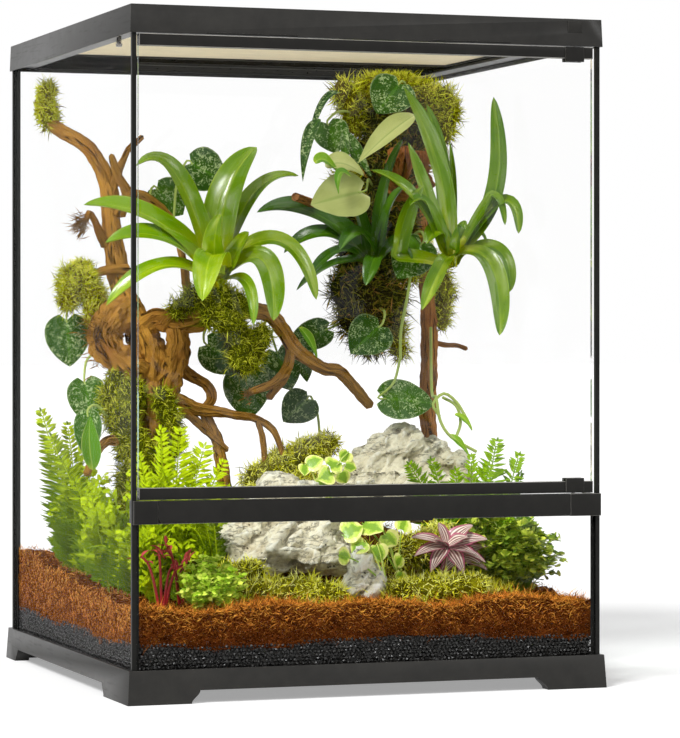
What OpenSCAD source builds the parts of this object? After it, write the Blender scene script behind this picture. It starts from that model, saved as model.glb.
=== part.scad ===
// Front-opening glass terrarium with a planted landscape of roots, rocks and moss.
// Millimetres, +Z up, front towards -Y, origin on the ground under the middle of the case.

/* [Glass case] */
// Outside width of the glass box
case_w = 444; // [420:1:470]
// Outside depth of the glass box
case_d = 444; // [420:1:470]
// Height from the ground to the top of the upper frame
case_h = 611.3; // [580:0.1:650]
// Thickness of every pane
pane_t = 4; // [3.5:0.1:4.5]
// Leg of the silicone fillet in an inside corner
seam_w = 3.5; // [2:0.5:5]

/* [Base frame] */
// Height of the lower frame
base_h = 30; // [27:0.5:36]
// How far the skirt stands outside the glass at the ground
base_flare = 5; // [4.5:0.1:7]
// How far the skirt stands outside the glass at its top edge
base_lip = 3.2; // [2.5:0.1:4.2]
// Height of the glass floor's underside above the ground
floor_z = 16; // [14:0.5:18]
// Thickness of the ledge that carries the glass
ledge_t = 3; // [2:0.5:3]
// Width of the ledge, from the glass's outer face inwards
ledge_w = 17; // [12:1:24]
// Wall of the skirt between the feet
skirt_t = 3; // [2.5:0.1:3.5]
// Thickness of a foot's block behind the skirt
foot_t = 14; // [10:1:18]
// Height of the opening between two feet
foot_h = 11.5; // [8:0.5:12.5]
// Length of a front foot along the front
foot_front = 58; // [40:1:80]
// Length of a front foot along the side
foot_side = 82; // [60:1:110]
// Length of a rear foot along the side
foot_rear = 38; // [28:1:60]
// Length of a rear foot along the back
foot_back = 28; // [24:1:60]
// Run of the curved end of a foot
foot_run = 8; // [4:1:12]

/* [Upper frame] */
// Height of the upper frame
rim_h = 24.8; // [23.8:0.1:28]
// How far the upper frame stands outside the glass at its lower edge
rim_low = 2.1; // [1.6:0.1:2.8]
// How far the upper frame stands outside the glass at its top
rim_top = 1.2; // [0.9:0.1:1.6]
// Height of the glass inside the upper frame's skirt
rim_grip = 3.5; // [2.5:0.1:3.6]
// Thickness of the flange over the glass
flange_t = 3; // [2.4:0.1:3.2]
// Width of the flange, from the glass's outer face inwards
flange_w = 22; // [18:1:26]
// Wall of the upper frame beside the lid, inside the glass's outer face
rim_wall = 3; // [2:0.5:4]
// Front to back length of the closed rear deck, from the glass's outer face
deck_l = 74; // [68:1:84]
// Depth of a shallow slit in the lower edge
slit_h = 1.6; // [1:0.1:2.2]
// Slits along the front, each from its first to its second place
slits = [[-155, -70], [58, 133]];
// Radius of the chrome stud under the left flange
stud_r = 3.2; // [2.5:0.1:4]

/* [Front and door] */
// Height of the sill's underside
sill_z = 157.5; // [140:0.5:180]
// Height of the sill
sill_h = 20.3; // [19:0.1:23]
// Depth of the sill rail, from the glass's outer face inwards
sill_in = 6.5; // [6:0.1:9]
// How far the sill's end caps stand in front of the glass
cap_out = 4.6; // [4.4:0.1:4.8]
// Length of the sill's return along a side pane
return_l = 16; // [10:1:24]
// Gap above and below the door
door_gap = 0.8; // [0.5:0.1:1.2]
// Gap between the door and the left side pane
door_left = 2; // [1.5:0.1:4]
// Gap between the door and the right side pane
door_right = 3.5; // [3:0.1:5]
// Height of a door rail
rail_h = 10.5; // [9:0.5:13]
// Wall of a door rail in front of and behind the glass
rail_wall = 2; // [1.5:0.1:2.1]
// Web of a door rail above or below the glass
rail_web = 3; // [2.5:0.1:4]
// Distance of the hinge axis from the case's middle
hinge_x = 196.5; // [190:0.5:200]
// Width of a hinge pad
pad_w = 17.8; // [12:0.1:20]
// How far a hinge pad reaches past its rail
pad_over = 3; // [2:0.1:5]
// Radius of the hinge pins
pin_r = 1.6; // [1.2:0.1:1.6]
// Running clearance around every pin
pin_gap = 0.05; // [0.02:0.01:0.09]
// Depth of a hinge pin in its bore
pin_in = 5; // [4:0.1:5.4]

/* [Latch bar] */
// Left end of the bar
bar_x0 = -199.4; // [-204:0.1:-190]
// Right end of the bar
bar_x1 = 191; // [180:0.1:192]
// Height of the bar
bar_h = 18.9; // [17.5:0.1:19.2]
// Thickness of the bar
bar_t = 2.8; // [2.4:0.1:3.2]
// Gap between the bar's ends and the caps
bar_gap = 0.4; // [0.3:0.1:1]
// Left end of the finger lip under the bar
lip_x0 = -39.5; // [-60:0.5:-20]
// Right end of the finger lip under the bar
lip_x1 = 55.7; // [30:0.1:80]
// How far the finger lip reaches below the bar
lip_h = 2.5; // [1.5:0.1:3.5]
// Height of the bar's pivot above the bar's lower edge
pivot_up = 5.6; // [5:0.1:6]
// Radius of the pivot pins
pivot_r = 1.2; // [1:0.1:1.3]
// Length of a pivot pin in its cap
pivot_in = 5; // [3:0.5:8]
// Length of a latch magnet
magnet_l = 20; // [12:1:30]
// Distance of each magnet from the middle
magnet_x = 70; // [50:1:90]
// Thickness of the steel strike plate in the door's lower rail
strike_t = 1; // [0.8:0.1:1.2]

/* [Lid] */
// Clearance around the lid
lid_gap = 0.5; // [0.3:0.1:1]
// Thickness of the lid's bottom plate
lid_t = 2; // [1.6:0.1:3]
// Height of the lid's rim
lid_h = 16; // [12:0.5:17]
// Width of the lid's bottom plate
lid_w = 22; // [18:1:28]
// Width of the lid's rear plate
lid_rear = 56; // [30:1:70]
// Width of the lid's rim
lid_rim = 10.5; // [8:0.5:14]
// Thickness of the metal net
net_t = 1; // [0.8:0.1:1.6]
// Number of gaps across the net
net_nx = 17; // [8:1:17]
// Number of gaps from front to back
net_ny = 14; // [8:1:17]
// Width of a bar of the net
net_bar = 2; // [1:0.1:3]
// Width of the release button
button_w = 14; // [10:0.5:16]
// Height of the release button
button_h = 10.5; // [8:0.5:11]
// Middle of the button, from the case's middle
button_x = 196.5; // [190:0.5:198]
// Travel of the button
button_travel = 3; // [2:0.1:3]

/* [Cable inlets] */
// Distance of each inlet from the case's middle
inlet_x = 150; // [140:1:155]
// Length of an inlet along the back
inlet_l = 40; // [30:1:44]
// Width of an inlet from front to back
inlet_w = 20; // [14:1:22]
// Thickness of a shutter
shutter_t = 2.4; // [2:0.1:3]
// Gap around a sliding shutter
slide_gap = 0.2; // [0.1:0.05:0.3]
// How far a shutter covers past its inlet
shutter_over = 5; // [4:0.5:6]

/* [Ground] */
// Top of the clay pellet layer
pellet_z = 50; // [40:1:60]
// Height of the fibre at the front glass
soil_z = 80; // [70:1:95]
// Rise of the fibre from the front to the back
soil_rise = 28; // [15:1:40]
// Height of the mound under the rocks
mound_h = 72; // [50:1:90]
// Gap between the ground and the glass
ground_gap = 0.3; // [0.2:0.1:0.6]

/* [Wood and rocks] */
// Thickness of the wood, as a part of its real thickness
wood_k = 1; // [0.85:0.05:1.15]
// Radius of the upright post
post_r = 8; // [6.5:0.5:9]
// Length of the large rock
rock_l = 128; // [110:1:140]
// Height of the large rock
rock_h = 84; // [70:1:95]

/* [Plants] */
// Width of a bromeliad's leaf at its widest
strap_w = 30; // [22:1:36]
// Thickness of a leaf
leaf_t = 1.4; // [1.2:0.1:2]
// Length of the largest heart-shaped leaf
heart_l = 50; // [40:1:56]
// Length of a fern's frond
frond_l = 112; // [90:1:120]
// Width of a fern's frond
frond_w = 26; // [18:1:32]
// Length of a small leaf of the ground plants
leaflet_l = 20; // [14:1:24]
// Thickness of a plant's stem
stem_r = 1.3; // [1:0.1:1.8]

/* [Hidden] */
$fn = 48;

// The glass box
hw = case_w / 2;
hd = case_d / 2;
iw = hw - pane_t;
id = hd - pane_t;
ledge_z = floor_z - ledge_t;
rim_z = case_h - rim_h;
glass_z = rim_z + rim_grip;
flange_z = glass_z + flange_t;
deck_y = hd - deck_l;
well_w = hw - rim_wall;
well_d = hd - rim_wall;
wall_y = deck_y + 13;
wall_t = 3;

// The sill, the door and its hinges
sill_top = sill_z + sill_h;
door_z0 = sill_top + door_gap;
door_z1 = rim_z - door_gap;
door_x0 = -iw + door_left;
door_x1 = iw - door_right;
pane_z0 = door_z0 + rail_web;
pane_z1 = door_z1 - rail_web;
hinge_y = -hd + pane_t / 2 + 0.2;
pad_t = rail_wall + 0.8;
groove_z = sill_z + 3.5;
step_z = groove_z + 1.4;

// The latch bar, whose front is level with the widest part of the base
bar_y = -hd - base_flare;
bar_z0 = sill_top - 0.1 - bar_h;
pivot_z = bar_z0 + pivot_up;
pivot_y = bar_y + bar_t + 0.3;

// The lid
lid_z = flange_z + 0.1;
lid_x = well_w - lid_gap;
lid_y0 = -well_d + lid_gap;
lid_y1 = wall_y - lid_gap;
button_z = case_h - 7.25;
notch_w = button_w + 5;

// The cable inlets
inlet_y = hd - 33;
shutter_z = flange_z + slide_gap;
shutter_w = inlet_w + 2 * shutter_over;
shutter_l = inlet_l + 2 * shutter_over + 6;

// Colours
plastic = [0.24, 0.235, 0.22];
glass = [0.85, 0.95, 0.92, 0.3];
silicone = [0.06, 0.06, 0.06];
steel = [0.75, 0.76, 0.77];
bark = [0.62, 0.4, 0.22];
stone = [0.72, 0.7, 0.66];
lime = [0.5, 0.72, 0.08];
leaf = [0.13, 0.36, 0.12];
fern = [0.38, 0.66, 0.16];
mossy = [0.5, 0.52, 0.12];

// A box between two corners
module box(x0, x1, y0, y1, z0, z1)
    translate([x0, y0, z0])
        cube([x1 - x0, y1 - y0, z1 - z0]);

// A box with the same plan on both sides of the middle
module ring_box(hx, y0, y1, z0, z1)
    box(-hx, hx, y0, y1, z0, z1);

// A tapered frame body between two heights
module taper(o0, o1, z0, z1)
    hull() {
        box(-hw - o0, hw + o0, -hd - o0, hd + o0, z0, z0 + 0.01);
        box(-hw - o1, hw + o1, -hd - o1, hd + o1, z1 - 0.01, z1);
    }

// Profile of the opening between two feet, with curved ends
function foot_curve(a, b) = concat(
    [for (i = [0:8]) [a + foot_run * (1 - cos(22.5 * i)) / 2, foot_h * i / 8]],
    [for (i = [8:-1:0]) [b - foot_run * (1 - cos(22.5 * i)) / 2, foot_h * i / 8]]);

module foot_cut(a, b)
    linear_extrude(height = 40, center = true)
        polygon(concat([[a, -1]], foot_curve(a, b), [[b, -1]]));

module base_frame() color(plastic)
    difference() {
        taper(base_flare, base_lip, 0, base_h);
        ring_box(hw, -hd, hd, floor_z, base_h + 1);
        ring_box(hw - ledge_w, -hd + ledge_w, hd - ledge_w, -1, floor_z + 1);
        ring_box(hw + base_flare - foot_t, -hd - base_flare + foot_t, hd + base_flare - foot_t,
            -1, ledge_z);
        box(-hw - base_lip + skirt_t, hw + base_lip - skirt_t,
            -hd - base_flare + foot_side + foot_run, hd + base_flare - foot_rear - foot_run,
            -1, ledge_z);
        box(-hw - base_flare + foot_front + foot_run, hw + base_flare - foot_front - foot_run,
            -hd - base_lip + skirt_t, 0, -1, ledge_z);
        box(-hw - base_flare + foot_back + foot_run, hw + base_flare - foot_back - foot_run,
            0, hd + base_lip - skirt_t, -1, ledge_z);
        translate([0, -hd, 0])
            rotate([90, 0, 0])
                foot_cut(-hw - base_flare + foot_front, hw + base_flare - foot_front);
        translate([0, hd, 0])
            rotate([90, 0, 0])
                foot_cut(-hw - base_flare + foot_back, hw + base_flare - foot_back);
        for (s = [-1, 1])
            translate([s * hw, 0, 0])
                rotate([90, 0, 90])
                    foot_cut(-hd - base_flare + foot_side, hd + base_flare - foot_rear);
    }

module bottom_pane() color(glass)
    box(-iw, iw, -id, id, floor_z, floor_z + pane_t);

module back_pane() color(glass)
    box(-iw, iw, id, hd, floor_z, glass_z);

module side_pane(s) color(glass)
    translate([s * (iw + pane_t / 2), 0, (floor_z + glass_z) / 2])
        cube([pane_t, 2 * id, glass_z - floor_z], center = true);

module left_pane() side_pane(-1);
module right_pane() side_pane(1);

module front_pane() color(glass)
    box(-iw, iw, -hd, -id, floor_z, groove_z);

module corner_seams() color(silicone)
    for (x = [-iw - pane_t / 2, iw + pane_t / 2], y = [-id - pane_t / 2, id + pane_t / 2])
        translate([x, y, (floor_z + glass_z) / 2])
            cube([pane_t, pane_t, glass_z - floor_z], center = true);

module fillet(sx, sy, z0, z1)
    translate([sx * iw, sy * id, z0])
        linear_extrude(height = z1 - z0)
            polygon(sx * sy > 0
                ? [[0, 0], [-sx * seam_w, 0], [0, -sy * seam_w]]
                : [[0, 0], [0, -sy * seam_w], [-sx * seam_w, 0]]);

module inner_seams() color(silicone) {
    for (s = [-1, 1]) {
        fillet(s, 1, floor_z + pane_t, glass_z);
        fillet(s, -1, floor_z + pane_t, sill_z);
    }
}

module top_frame() color(plastic)
    difference() {
        taper(rim_low, rim_top, rim_z, case_h);
        ring_box(hw, -id + sill_in - pane_t, hd, rim_z - 1, glass_z);
        for (s = [-1, 1])
            translate([s * (iw + pane_t / 2), -id, rim_z + rim_grip / 2 - 0.5])
                cube([pane_t, 2 * pane_t, rim_grip + 1], center = true);
        ring_box(well_w, -well_d, well_d, flange_z, case_h + 1);
        ring_box(hw - flange_w, -hd + flange_w, deck_y, glass_z - 1, flange_z + 1);
        ring_box(hw - flange_w, deck_y - 1, well_d, glass_z - 1, flange_z + 1);
        translate([hinge_x, hinge_y, rim_z - 1])
            cylinder(r = pin_r + pin_gap, h = pin_in + 1.3);
        box(button_x - button_w / 2, button_x + button_w / 2, -hd - 9, -well_d + 1,
            button_z - button_h / 2, button_z + button_h / 2);
        for (s = slits)
            box(s[0], s[1], -hd - 9, -hd - 0.4, rim_z - 1, rim_z + slit_h);
    }

module inlet_rail(s, y, t)
    let (x0 = s > 0 ? inlet_x - shutter_l / 2 - inlet_l - 8 : -inlet_x - shutter_l / 2,
        l = shutter_l + inlet_l + 8)
        for (k = [-1, 1])
            translate([x0, y, flange_z]) {
                translate([0, k > 0 ? shutter_w / 2 + slide_gap : -shutter_w / 2 - slide_gap - 2.4, 0])
                    cube([l, 2.4, shutter_t + 4 * slide_gap + 2]);
                translate([0, k > 0 ? shutter_w / 2 - 1.6 : -shutter_w / 2 - slide_gap - 2.4,
                    shutter_t + 2 * slide_gap])
                    cube([l, 4 + slide_gap, 2 + 2 * slide_gap]);
            }

module rear_deck() color(plastic)
    difference() {
        union() {
            ring_box(hw - flange_w, deck_y, well_d, glass_z, flange_z);
            ring_box(well_w, wall_y, wall_y + wall_t, flange_z, case_h - 0.3);
            inlet_rail(-1, inlet_y);
            inlet_rail(1, inlet_y);
        }
        for (s = [-1, 1])
            translate([s * inlet_x, inlet_y, flange_z])
                cube([inlet_l, inlet_w, 20], center = true);
    }

// Cross-section of the sill, seen from the right: the pane's groove below, the bar's recess in front
module sill_profile()
    polygon([[-hd + sill_in, sill_z], [-id, sill_z], [-id, groove_z], [-hd, groove_z],
        [-hd, sill_z], [-hd - 0.8, sill_z], [-hd - 0.8, step_z], [-hd + 0.5, step_z],
        [-hd + 0.5, sill_top], [-hd + sill_in, sill_top]]);

module along_x(x0, x1)
    translate([x0, 0, 0])
        rotate([90, 0, 90])
            linear_extrude(height = x1 - x0)
                children();

module sill_rail() color(plastic)
    difference() {
        union() {
            along_x(bar_x0 - bar_gap, bar_x1 + bar_gap)
                sill_profile();
            for (e = [[-iw, bar_x0 - bar_gap], [bar_x1 + bar_gap, iw]])
                box(e[0], e[1], -hd, -hd + sill_in, groove_z, sill_top);
            for (e = [[-iw, bar_x0 - bar_gap], [bar_x1 + bar_gap, iw]])
                box(e[0], e[1], -id, -hd + sill_in, sill_z, groove_z);
            for (s = [-1, 1])
                translate([s * (iw - 2), -hd + sill_in + return_l / 2, sill_z + sill_h / 2])
                    cube([4, return_l, sill_h], center = true);
        }
        translate([hinge_x, hinge_y, sill_top - pin_in - door_gap - 0.3])
            cylinder(r = pin_r + pin_gap, h = pin_in + 3);
    }

module sill_cap(x0, x1, px)
    difference() {
        box(x0, x1, -hd - cap_out, -hd, sill_z, sill_top);
        translate([px, pivot_y, pivot_z])
            rotate([0, 90, 0])
                cylinder(r = pivot_r + pin_gap, h = 2 * pivot_in + 1, center = true);
    }

module sill_cap_left() color(plastic)
    sill_cap(-hw + 0.5, bar_x0 - bar_gap, bar_x0 - bar_gap);

module sill_cap_right() color(plastic)
    sill_cap(bar_x1 + bar_gap, hw - 0.5, bar_x1 + bar_gap);

module flange_stud() color(steel)
    translate([-hw + 14, -hd * 0.58, glass_z]) {
        translate([0, 0, -8])
            cylinder(r = stud_r * 0.7, h = 8);
        translate([0, 0, -8])
            cylinder(r1 = stud_r * 0.8, r2 = stud_r, h = 2.6);
    }

module door_pane() color(glass)
    box(door_x0, door_x1, -hd, -id, pane_z0, pane_z1);

module door_rail(z0, z1, web0, web1)
    difference() {
        box(door_x0, door_x1, -hd - rail_wall, -id + rail_wall, z0, z1);
        box(door_x0 - 1, door_x1 + 1, -hd, -id, web0, web1);
        box(hinge_x - pad_w / 2, hinge_x + pad_w / 2, -hd - 9, -id + 9, z0 - 1, z1 + 1);
    }

module door_top_rail() color(plastic)
    door_rail(door_z1 - rail_h, door_z1, door_z1 - rail_h - 1, pane_z1);

module door_bottom_rail() color(plastic)
    difference() {
        door_rail(door_z0, door_z0 + rail_h, pane_z0, door_z0 + rail_h + 1);
        box(-magnet_x - magnet_l, magnet_x + magnet_l, -hd - rail_wall + 0.6, -hd + 1.2,
            door_z0 - 1, door_z0 + strike_t);
    }

module hinge_pad(z0, z1, web0, web1)
    difference() {
        box(hinge_x - pad_w / 2, hinge_x + pad_w / 2, -hd - pad_t, -id + pad_t, z0, z1);
        box(hinge_x - pad_w, hinge_x + pad_w, -hd, -id, web0, web1);
        translate([hinge_x, hinge_y, z0 - 1])
            cylinder(r = pin_r, h = z1 - z0 + 2);
    }

module hinge_pad_upper() color(plastic)
    hinge_pad(door_z1 - rail_h - pad_over, door_z1, door_z1 - rail_h - pad_over - 1, pane_z1);

module hinge_pad_lower() color(plastic)
    hinge_pad(door_z0, door_z0 + rail_h + pad_over, pane_z0, door_z0 + rail_h + pad_over + 1);

module hinge_pin_upper() color(steel)
    translate([hinge_x, hinge_y, pane_z1])
        cylinder(r = pin_r, h = rim_z + pin_in - pane_z1);

module hinge_pin_lower() color(steel)
    translate([hinge_x, hinge_y, sill_top - pin_in - door_gap])
        cylinder(r = pin_r, h = pane_z0 - sill_top + pin_in + door_gap);

module strike_plate() color(steel)
    box(-magnet_x - magnet_l, magnet_x + magnet_l, -hd - rail_wall + 0.6, -hd + 1.2,
        door_z0, door_z0 + strike_t);

// Front outline of the bar, with a rounded lower left corner and the finger lip
module bar_outline()
    polygon(concat(
        [for (i = [0:6]) [bar_x0 + 5 - 5 * cos(15 * i), bar_z0 + 5 - 5 * sin(15 * i)]],
        [[lip_x0 - lip_h, bar_z0], [lip_x0, bar_z0 - lip_h], [lip_x1, bar_z0 - lip_h],
            [lip_x1 + lip_h, bar_z0], [bar_x1, bar_z0], [bar_x1, bar_z0 + bar_h],
            [bar_x0, bar_z0 + bar_h]]));

module latch_magnet(x, d)
    translate([x, bar_y + bar_t - 0.8, bar_z0 + bar_h - 2.6])
        cube([magnet_l, 1.6 + d, 4], center = true);

module latch_bar() color(plastic)
    difference() {
        union() {
            translate([0, bar_y + bar_t, 0])
                rotate([90, 0, 0])
                    linear_extrude(height = bar_t)
                        bar_outline();
            for (e = [[bar_x0, bar_x0 + 8], [bar_x1 - 8, bar_x1]])
                translate([e[0], pivot_y, pivot_z])
                    rotate([0, 90, 0])
                        cylinder(r = pivot_r + 0.7, h = e[1] - e[0]);
        }
        translate([bar_x0 - 1, pivot_y, pivot_z])
            rotate([0, 90, 0])
                cylinder(r = pivot_r, h = 6);
        translate([bar_x1 - 5, pivot_y, pivot_z])
            rotate([0, 90, 0])
                cylinder(r = pivot_r, h = 6);
        for (s = [-1, 1])
            latch_magnet(s * magnet_x, 0);
    }

module latch_pins() color(steel)
    for (x = [bar_x0 - bar_gap - pivot_in + 0.5, bar_x1 - 5])
        translate([x, pivot_y, pivot_z])
            rotate([0, 90, 0])
                cylinder(r = pivot_r, h = 5 + bar_gap + pivot_in - 0.5);

module latch_magnets() color(steel)
    for (s = [-1, 1])
        latch_magnet(s * magnet_x, 0);

module lid_frame() color(plastic)
    difference() {
        union() {
            box(-lid_x, lid_x, lid_y0, lid_y1, lid_z, lid_z + lid_t);
            difference() {
                box(-lid_x, lid_x, lid_y0, lid_y1, lid_z, lid_z + lid_h);
                box(-lid_x + lid_rim, lid_x - lid_rim, lid_y0 + lid_rim, lid_y1 - lid_rim,
                    lid_z + lid_t, lid_z + lid_h + 1);
            }
        }
        box(-lid_x + lid_w, lid_x - lid_w, lid_y0 + lid_w, lid_y1 - lid_rear,
            lid_z - 1, lid_z + lid_t + 1);
        box(button_x - notch_w / 2, button_x + notch_w / 2, lid_y0 - 1,
            -well_d + button_travel + 3, lid_z + lid_t, lid_z + lid_h + 1);
    }

net_x = lid_x - lid_rim - 1;
net_y0 = lid_y0 + lid_rim + 1;
net_y1 = lid_y1 - lid_rear + 9;

module lid_net() color([0.78, 0.74, 0.66])
    translate([0, 0, lid_z + lid_t])
        linear_extrude(height = net_t)
            difference() {
                translate([-net_x, net_y0])
                    square([2 * net_x, net_y1 - net_y0]);
                for (i = [0:net_nx - 1], j = [0:net_ny - 1])
                    translate([-net_x + 6 + i * (2 * net_x - 12) / net_nx + net_bar / 2,
                        net_y0 + 6 + j * (net_y1 - net_y0 - 12) / net_ny + net_bar / 2])
                        square([(2 * net_x - 12) / net_nx - net_bar,
                            (net_y1 - net_y0 - 12) / net_ny - net_bar]);
            }

module lid_tab() color(plastic)
    box(button_x - button_w / 2 + 1, button_x + button_w / 2 + 1,
        -well_d + button_travel + 3.2, lid_y0 + lid_rim, lid_z + lid_h, case_h + 1.3);

module lid_button() color([0.3, 0.295, 0.28]) {
    box(button_x - button_w / 2 + 0.2, button_x + button_w / 2 - 0.2, -hd - rim_low + 0.1,
        -well_d + 0.05, button_z - button_h / 2 + 0.2, button_z + button_h / 2 - 0.2);
    box(button_x - button_w / 2 - 1, button_x + button_w / 2 + 1, -well_d + 0.05,
        -well_d + 1.2, button_z - button_h / 2 - 1, button_z + button_h / 2 + 0.5);
}

module shutter(s) color(plastic)
    translate([s * inlet_x, inlet_y, shutter_z])
        difference() {
            union() {
                translate([0, 0, shutter_t / 2])
                    cube([shutter_l, shutter_w, shutter_t], center = true);
                translate([0, 0, shutter_t + 2])
                    cube([5, shutter_w - 12, 4], center = true);
            }
        }

module inlet_shutter_left() shutter(-1);
module inlet_shutter_right() shutter(1);

// The ground

// Places in the planting follow the glass sideways and the free height upwards
kx = iw / 218;
ky = id / 218;
kz = (rim_z - soil_z) / 506.5;
function at(p) = [p[0] * kx, p[1] * ky, soil_z + (p[2] - 80) * kz];
function unit(v) = v / max(norm(v), 0.001);
function fine(p) = [for (c = p) round(c * 64) / 64];

gx = iw - ground_gap;
gy = id - ground_gap;

function soil(x, y) = soil_z + soil_rise * pow(max(0, (y + gy) / (2 * gy)), 1.6)
    + mound_h * exp(-pow((x / kx - 30) / 105, 2) - pow((y / ky - 5) / 92, 2))
    + 2.2 * sin(3.1 * x + 40) + 1.8 * sin(2.6 * y + 1.7 * x);

soil_n = 12;
function edge(i, j) = (i == 0 || i == soil_n) && (j == 0 || j == soil_n) ? 0.6 * seam_w : 0;
function grid(i, n, h, e) = -h + 2 * h * i / n + (i == 0 ? e : i == n ? -e : 0);
function soil_points(z) = [for (j = [0:soil_n], i = [0:soil_n])
    let (e = edge(i, j), x = grid(i, soil_n, gx, e), y = grid(j, soil_n, gy, e))
        [x, y, z > 0 ? z : soil(x, y)]];

module substrate() color([0.55, 0.3, 0.13])
    let (m = soil_n + 1, k = m * m)
        polyhedron(
            points = concat(soil_points(0), soil_points(pellet_z)),
            faces = concat(
                [for (j = [0:soil_n - 1], i = [0:soil_n - 1], t = [0, 1])
                    let (a = j * m + i)
                        t == 0 ? [a, a + m, a + m + 1] : [a, a + m + 1, a + 1]],
                [for (j = [0:soil_n - 1], i = [0:soil_n - 1], t = [0, 1])
                    let (a = k + j * m + i)
                        t == 0 ? [a, a + m + 1, a + m] : [a, a + 1, a + m + 1]],
                [for (i = [0:soil_n - 1], t = [0, 1])
                    t == 0 ? [i, i + 1, k + i + 1] : [i, k + i + 1, k + i]],
                [for (i = [0:soil_n - 1], t = [0, 1])
                    let (a = soil_n * m + i)
                        t == 0 ? [a, k + a + 1, a + 1] : [a, k + a, k + a + 1]],
                [for (j = [0:soil_n - 1], t = [0, 1])
                    let (a = j * m)
                        t == 0 ? [a, k + a, k + a + m] : [a, k + a + m, a + m]],
                [for (j = [0:soil_n - 1], t = [0, 1])
                    let (a = j * m + soil_n)
                        t == 0 ? [a, a + m, k + a + m] : [a, k + a + m, k + a]]));

module drainage_layer() color([0.05, 0.05, 0.05])
    let (c = seam_w + 1)
        translate([0, 0, floor_z + pane_t])
            linear_extrude(height = pellet_z - floor_z - pane_t)
                polygon([[-gx + c, -gy], [gx - c, -gy], [gx, -gy + c], [gx, gy - c], [gx - c, gy],
                    [-gx + c, gy], [-gx, gy - c], [-gx, -gy + c]]);

// A run of wood or stem through points that each carry a radius
module limb(pts, k = 1, fn = 6)
    for (i = [0:len(pts) - 2])
        hull()
            for (q = [pts[i], pts[i + 1]])
                translate(at(q))
                    sphere(r = q[3] * k, $fn = fn);

// A rounded clod between two places
module clod(a, b, ra, rb, fn = 6)
    hull() {
        translate(at(a))
            sphere(r = ra, $fn = fn);
        translate(at(b))
            sphere(r = rb, $fn = fn);
    }

branch_tip = [[-206, 148, 548, 4.5], [-205, 147, 536, 6], [-195, 140, 524, 6.5],
    [-180, 130, 514, 7], [-168, 122, 503, 7], [-160, 115, 488, 7.5], [-155, 110, 474, 8],
    [-153, 104, 454, 9], [-152, 100, 421, 10], [-150, 95, 400, 10.5], [-148, 88, 376, 11],
    [-142, 74, 350, 13], [-134, 62, 328, 15]];
trunk = [[-134, 62, 328, 15], [-126, 56, 300, 17], [-128, 54, 262, 18], [-132, 52, 222, 19],
    [-132, 50, 170, 20], [-128, 48, 100, 24]];
knots = [[-143, 70, 352, 12], [-160, 60, 340, 14], [-172, 56, 322, 14], [-160, 50, 300, 15],
    [-138, 50, 286, 15]];
main_limb = [[-134, 58, 326, 13], [-122, 50, 336, 11], [-104, 42, 334, 10.5], [-86, 34, 336, 10],
    [-67, 26, 344, 9.5], [-44, 20, 347, 8.5], [-18, 20, 343, 7.5], [-4, 20, 328, 7],
    [7, 20, 311, 7.5], [24, 20, 298, 6.5], [39, 20, 290, 6], [56, 25, 287, 6], [72, 30, 273, 5.5],
    [91, 35, 254, 5]];
front_stem = [[-104, 42, 334, 10], [-103, 40, 312, 10], [-108, 42, 290, 12], [-120, 46, 266, 14]];
roots = [
    [[-139, 90, 502, 3], [-146, 96, 484, 4], [-152, 103, 462, 5]],
    [[-126, 85, 515, 2.5], [-139, 90, 502, 3]],
    [[-158, 80, 496, 3], [-152, 82, 479, 4], [-142, 84, 460, 4.5], [-146, 94, 440, 6]],
    [[-142, 84, 460, 4.5], [-128, 80, 458, 5], [-111, 75, 446, 5], [-100, 66, 430, 4],
        [-96, 50, 400, 4], [-92, 38, 350, 5]],
    [[-183, 82, 432, 2.5], [-178, 84, 440, 3], [-160, 96, 410, 5]],
    [[-142, 78, 386, 5], [-160, 78, 386, 4.5], [-174, 80, 381, 4], [-184, 82, 368, 3]],
    [[-106, 44, 300, 6], [-89, 48, 284, 5.5], [-73, 45, 275, 5], [-68, 44, 262, 4.5],
        [-76, 43, 250, 4.5]],
    [[-118, 46, 268, 8], [-104, 44, 262, 6.5], [-86, 40, 252, 6], [-54, 30, 247, 4.5],
        [-27, 25, 241, 4], [-14, 20, 231, 3.5], [-6, 18, 214, 3], [0, 16, 190, 3]],
    [[-27, 25, 241, 3.5], [-22, 24, 217, 3], [-20, 22, 185, 3]],
    [[-98, 42, 252, 5], [-73, 40, 229, 4], [-55, 38, 212, 3.5]],
    [[-76, 43, 248, 5], [-63, 42, 220, 5.5], [-58, 40, 190, 6], [-52, 38, 140, 6.5]],
    [[4, 20, 309, 5], [0, 16, 292, 5], [-16, 12, 277, 4], [-40, 8, 268, 3]],
    [[4, 22, 305, 4.5], [2, 30, 284, 4.5], [-13, 35, 262, 3.5]],
    [[-92, 30, 340, 5], [-80, 14, 352, 6], [-66, 0, 366, 5]],
    [[-132, 50, 170, 14], [-156, 30, 120, 10], [-172, 20, 90, 8]],
    [[-132, 50, 170, 12], [-104, 66, 130, 10], [-86, 80, 92, 8]]];

module root_wood() color(bark)
    difference() {
        wood_shape();
        substrate();
    }

module wood_shape()
    union() {
        limb(branch_tip, wood_k);
        limb(trunk, wood_k, 8);
        limb(knots, wood_k);
        limb(main_limb, wood_k);
        limb(front_stem, wood_k);
        for (r = roots)
            limb(r, wood_k, 5);
    }

post_path = [[178, 95, 95, 1], [177, 95, 200, 1], [174, 95, 250, 1], [176, 95, 300, 1],
    [175, 95, 350, 0.98], [172, 94, 388, 0.95], [164, 90, 430, 0.9], [158, 86, 480, 0.8],
    [156, 84, 530, 0.7]];

module wood_post() color(bark)
    difference() {
        union() {
            limb(post_path, post_r * wood_k, 10);
            limb([[176, 95, 316, 3], [192, 92, 313, 2.6], [204, 90, 312, 2.4], [213, 87, 309, 2.4]],
                wood_k, 6);
        }
        substrate();
    }

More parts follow.
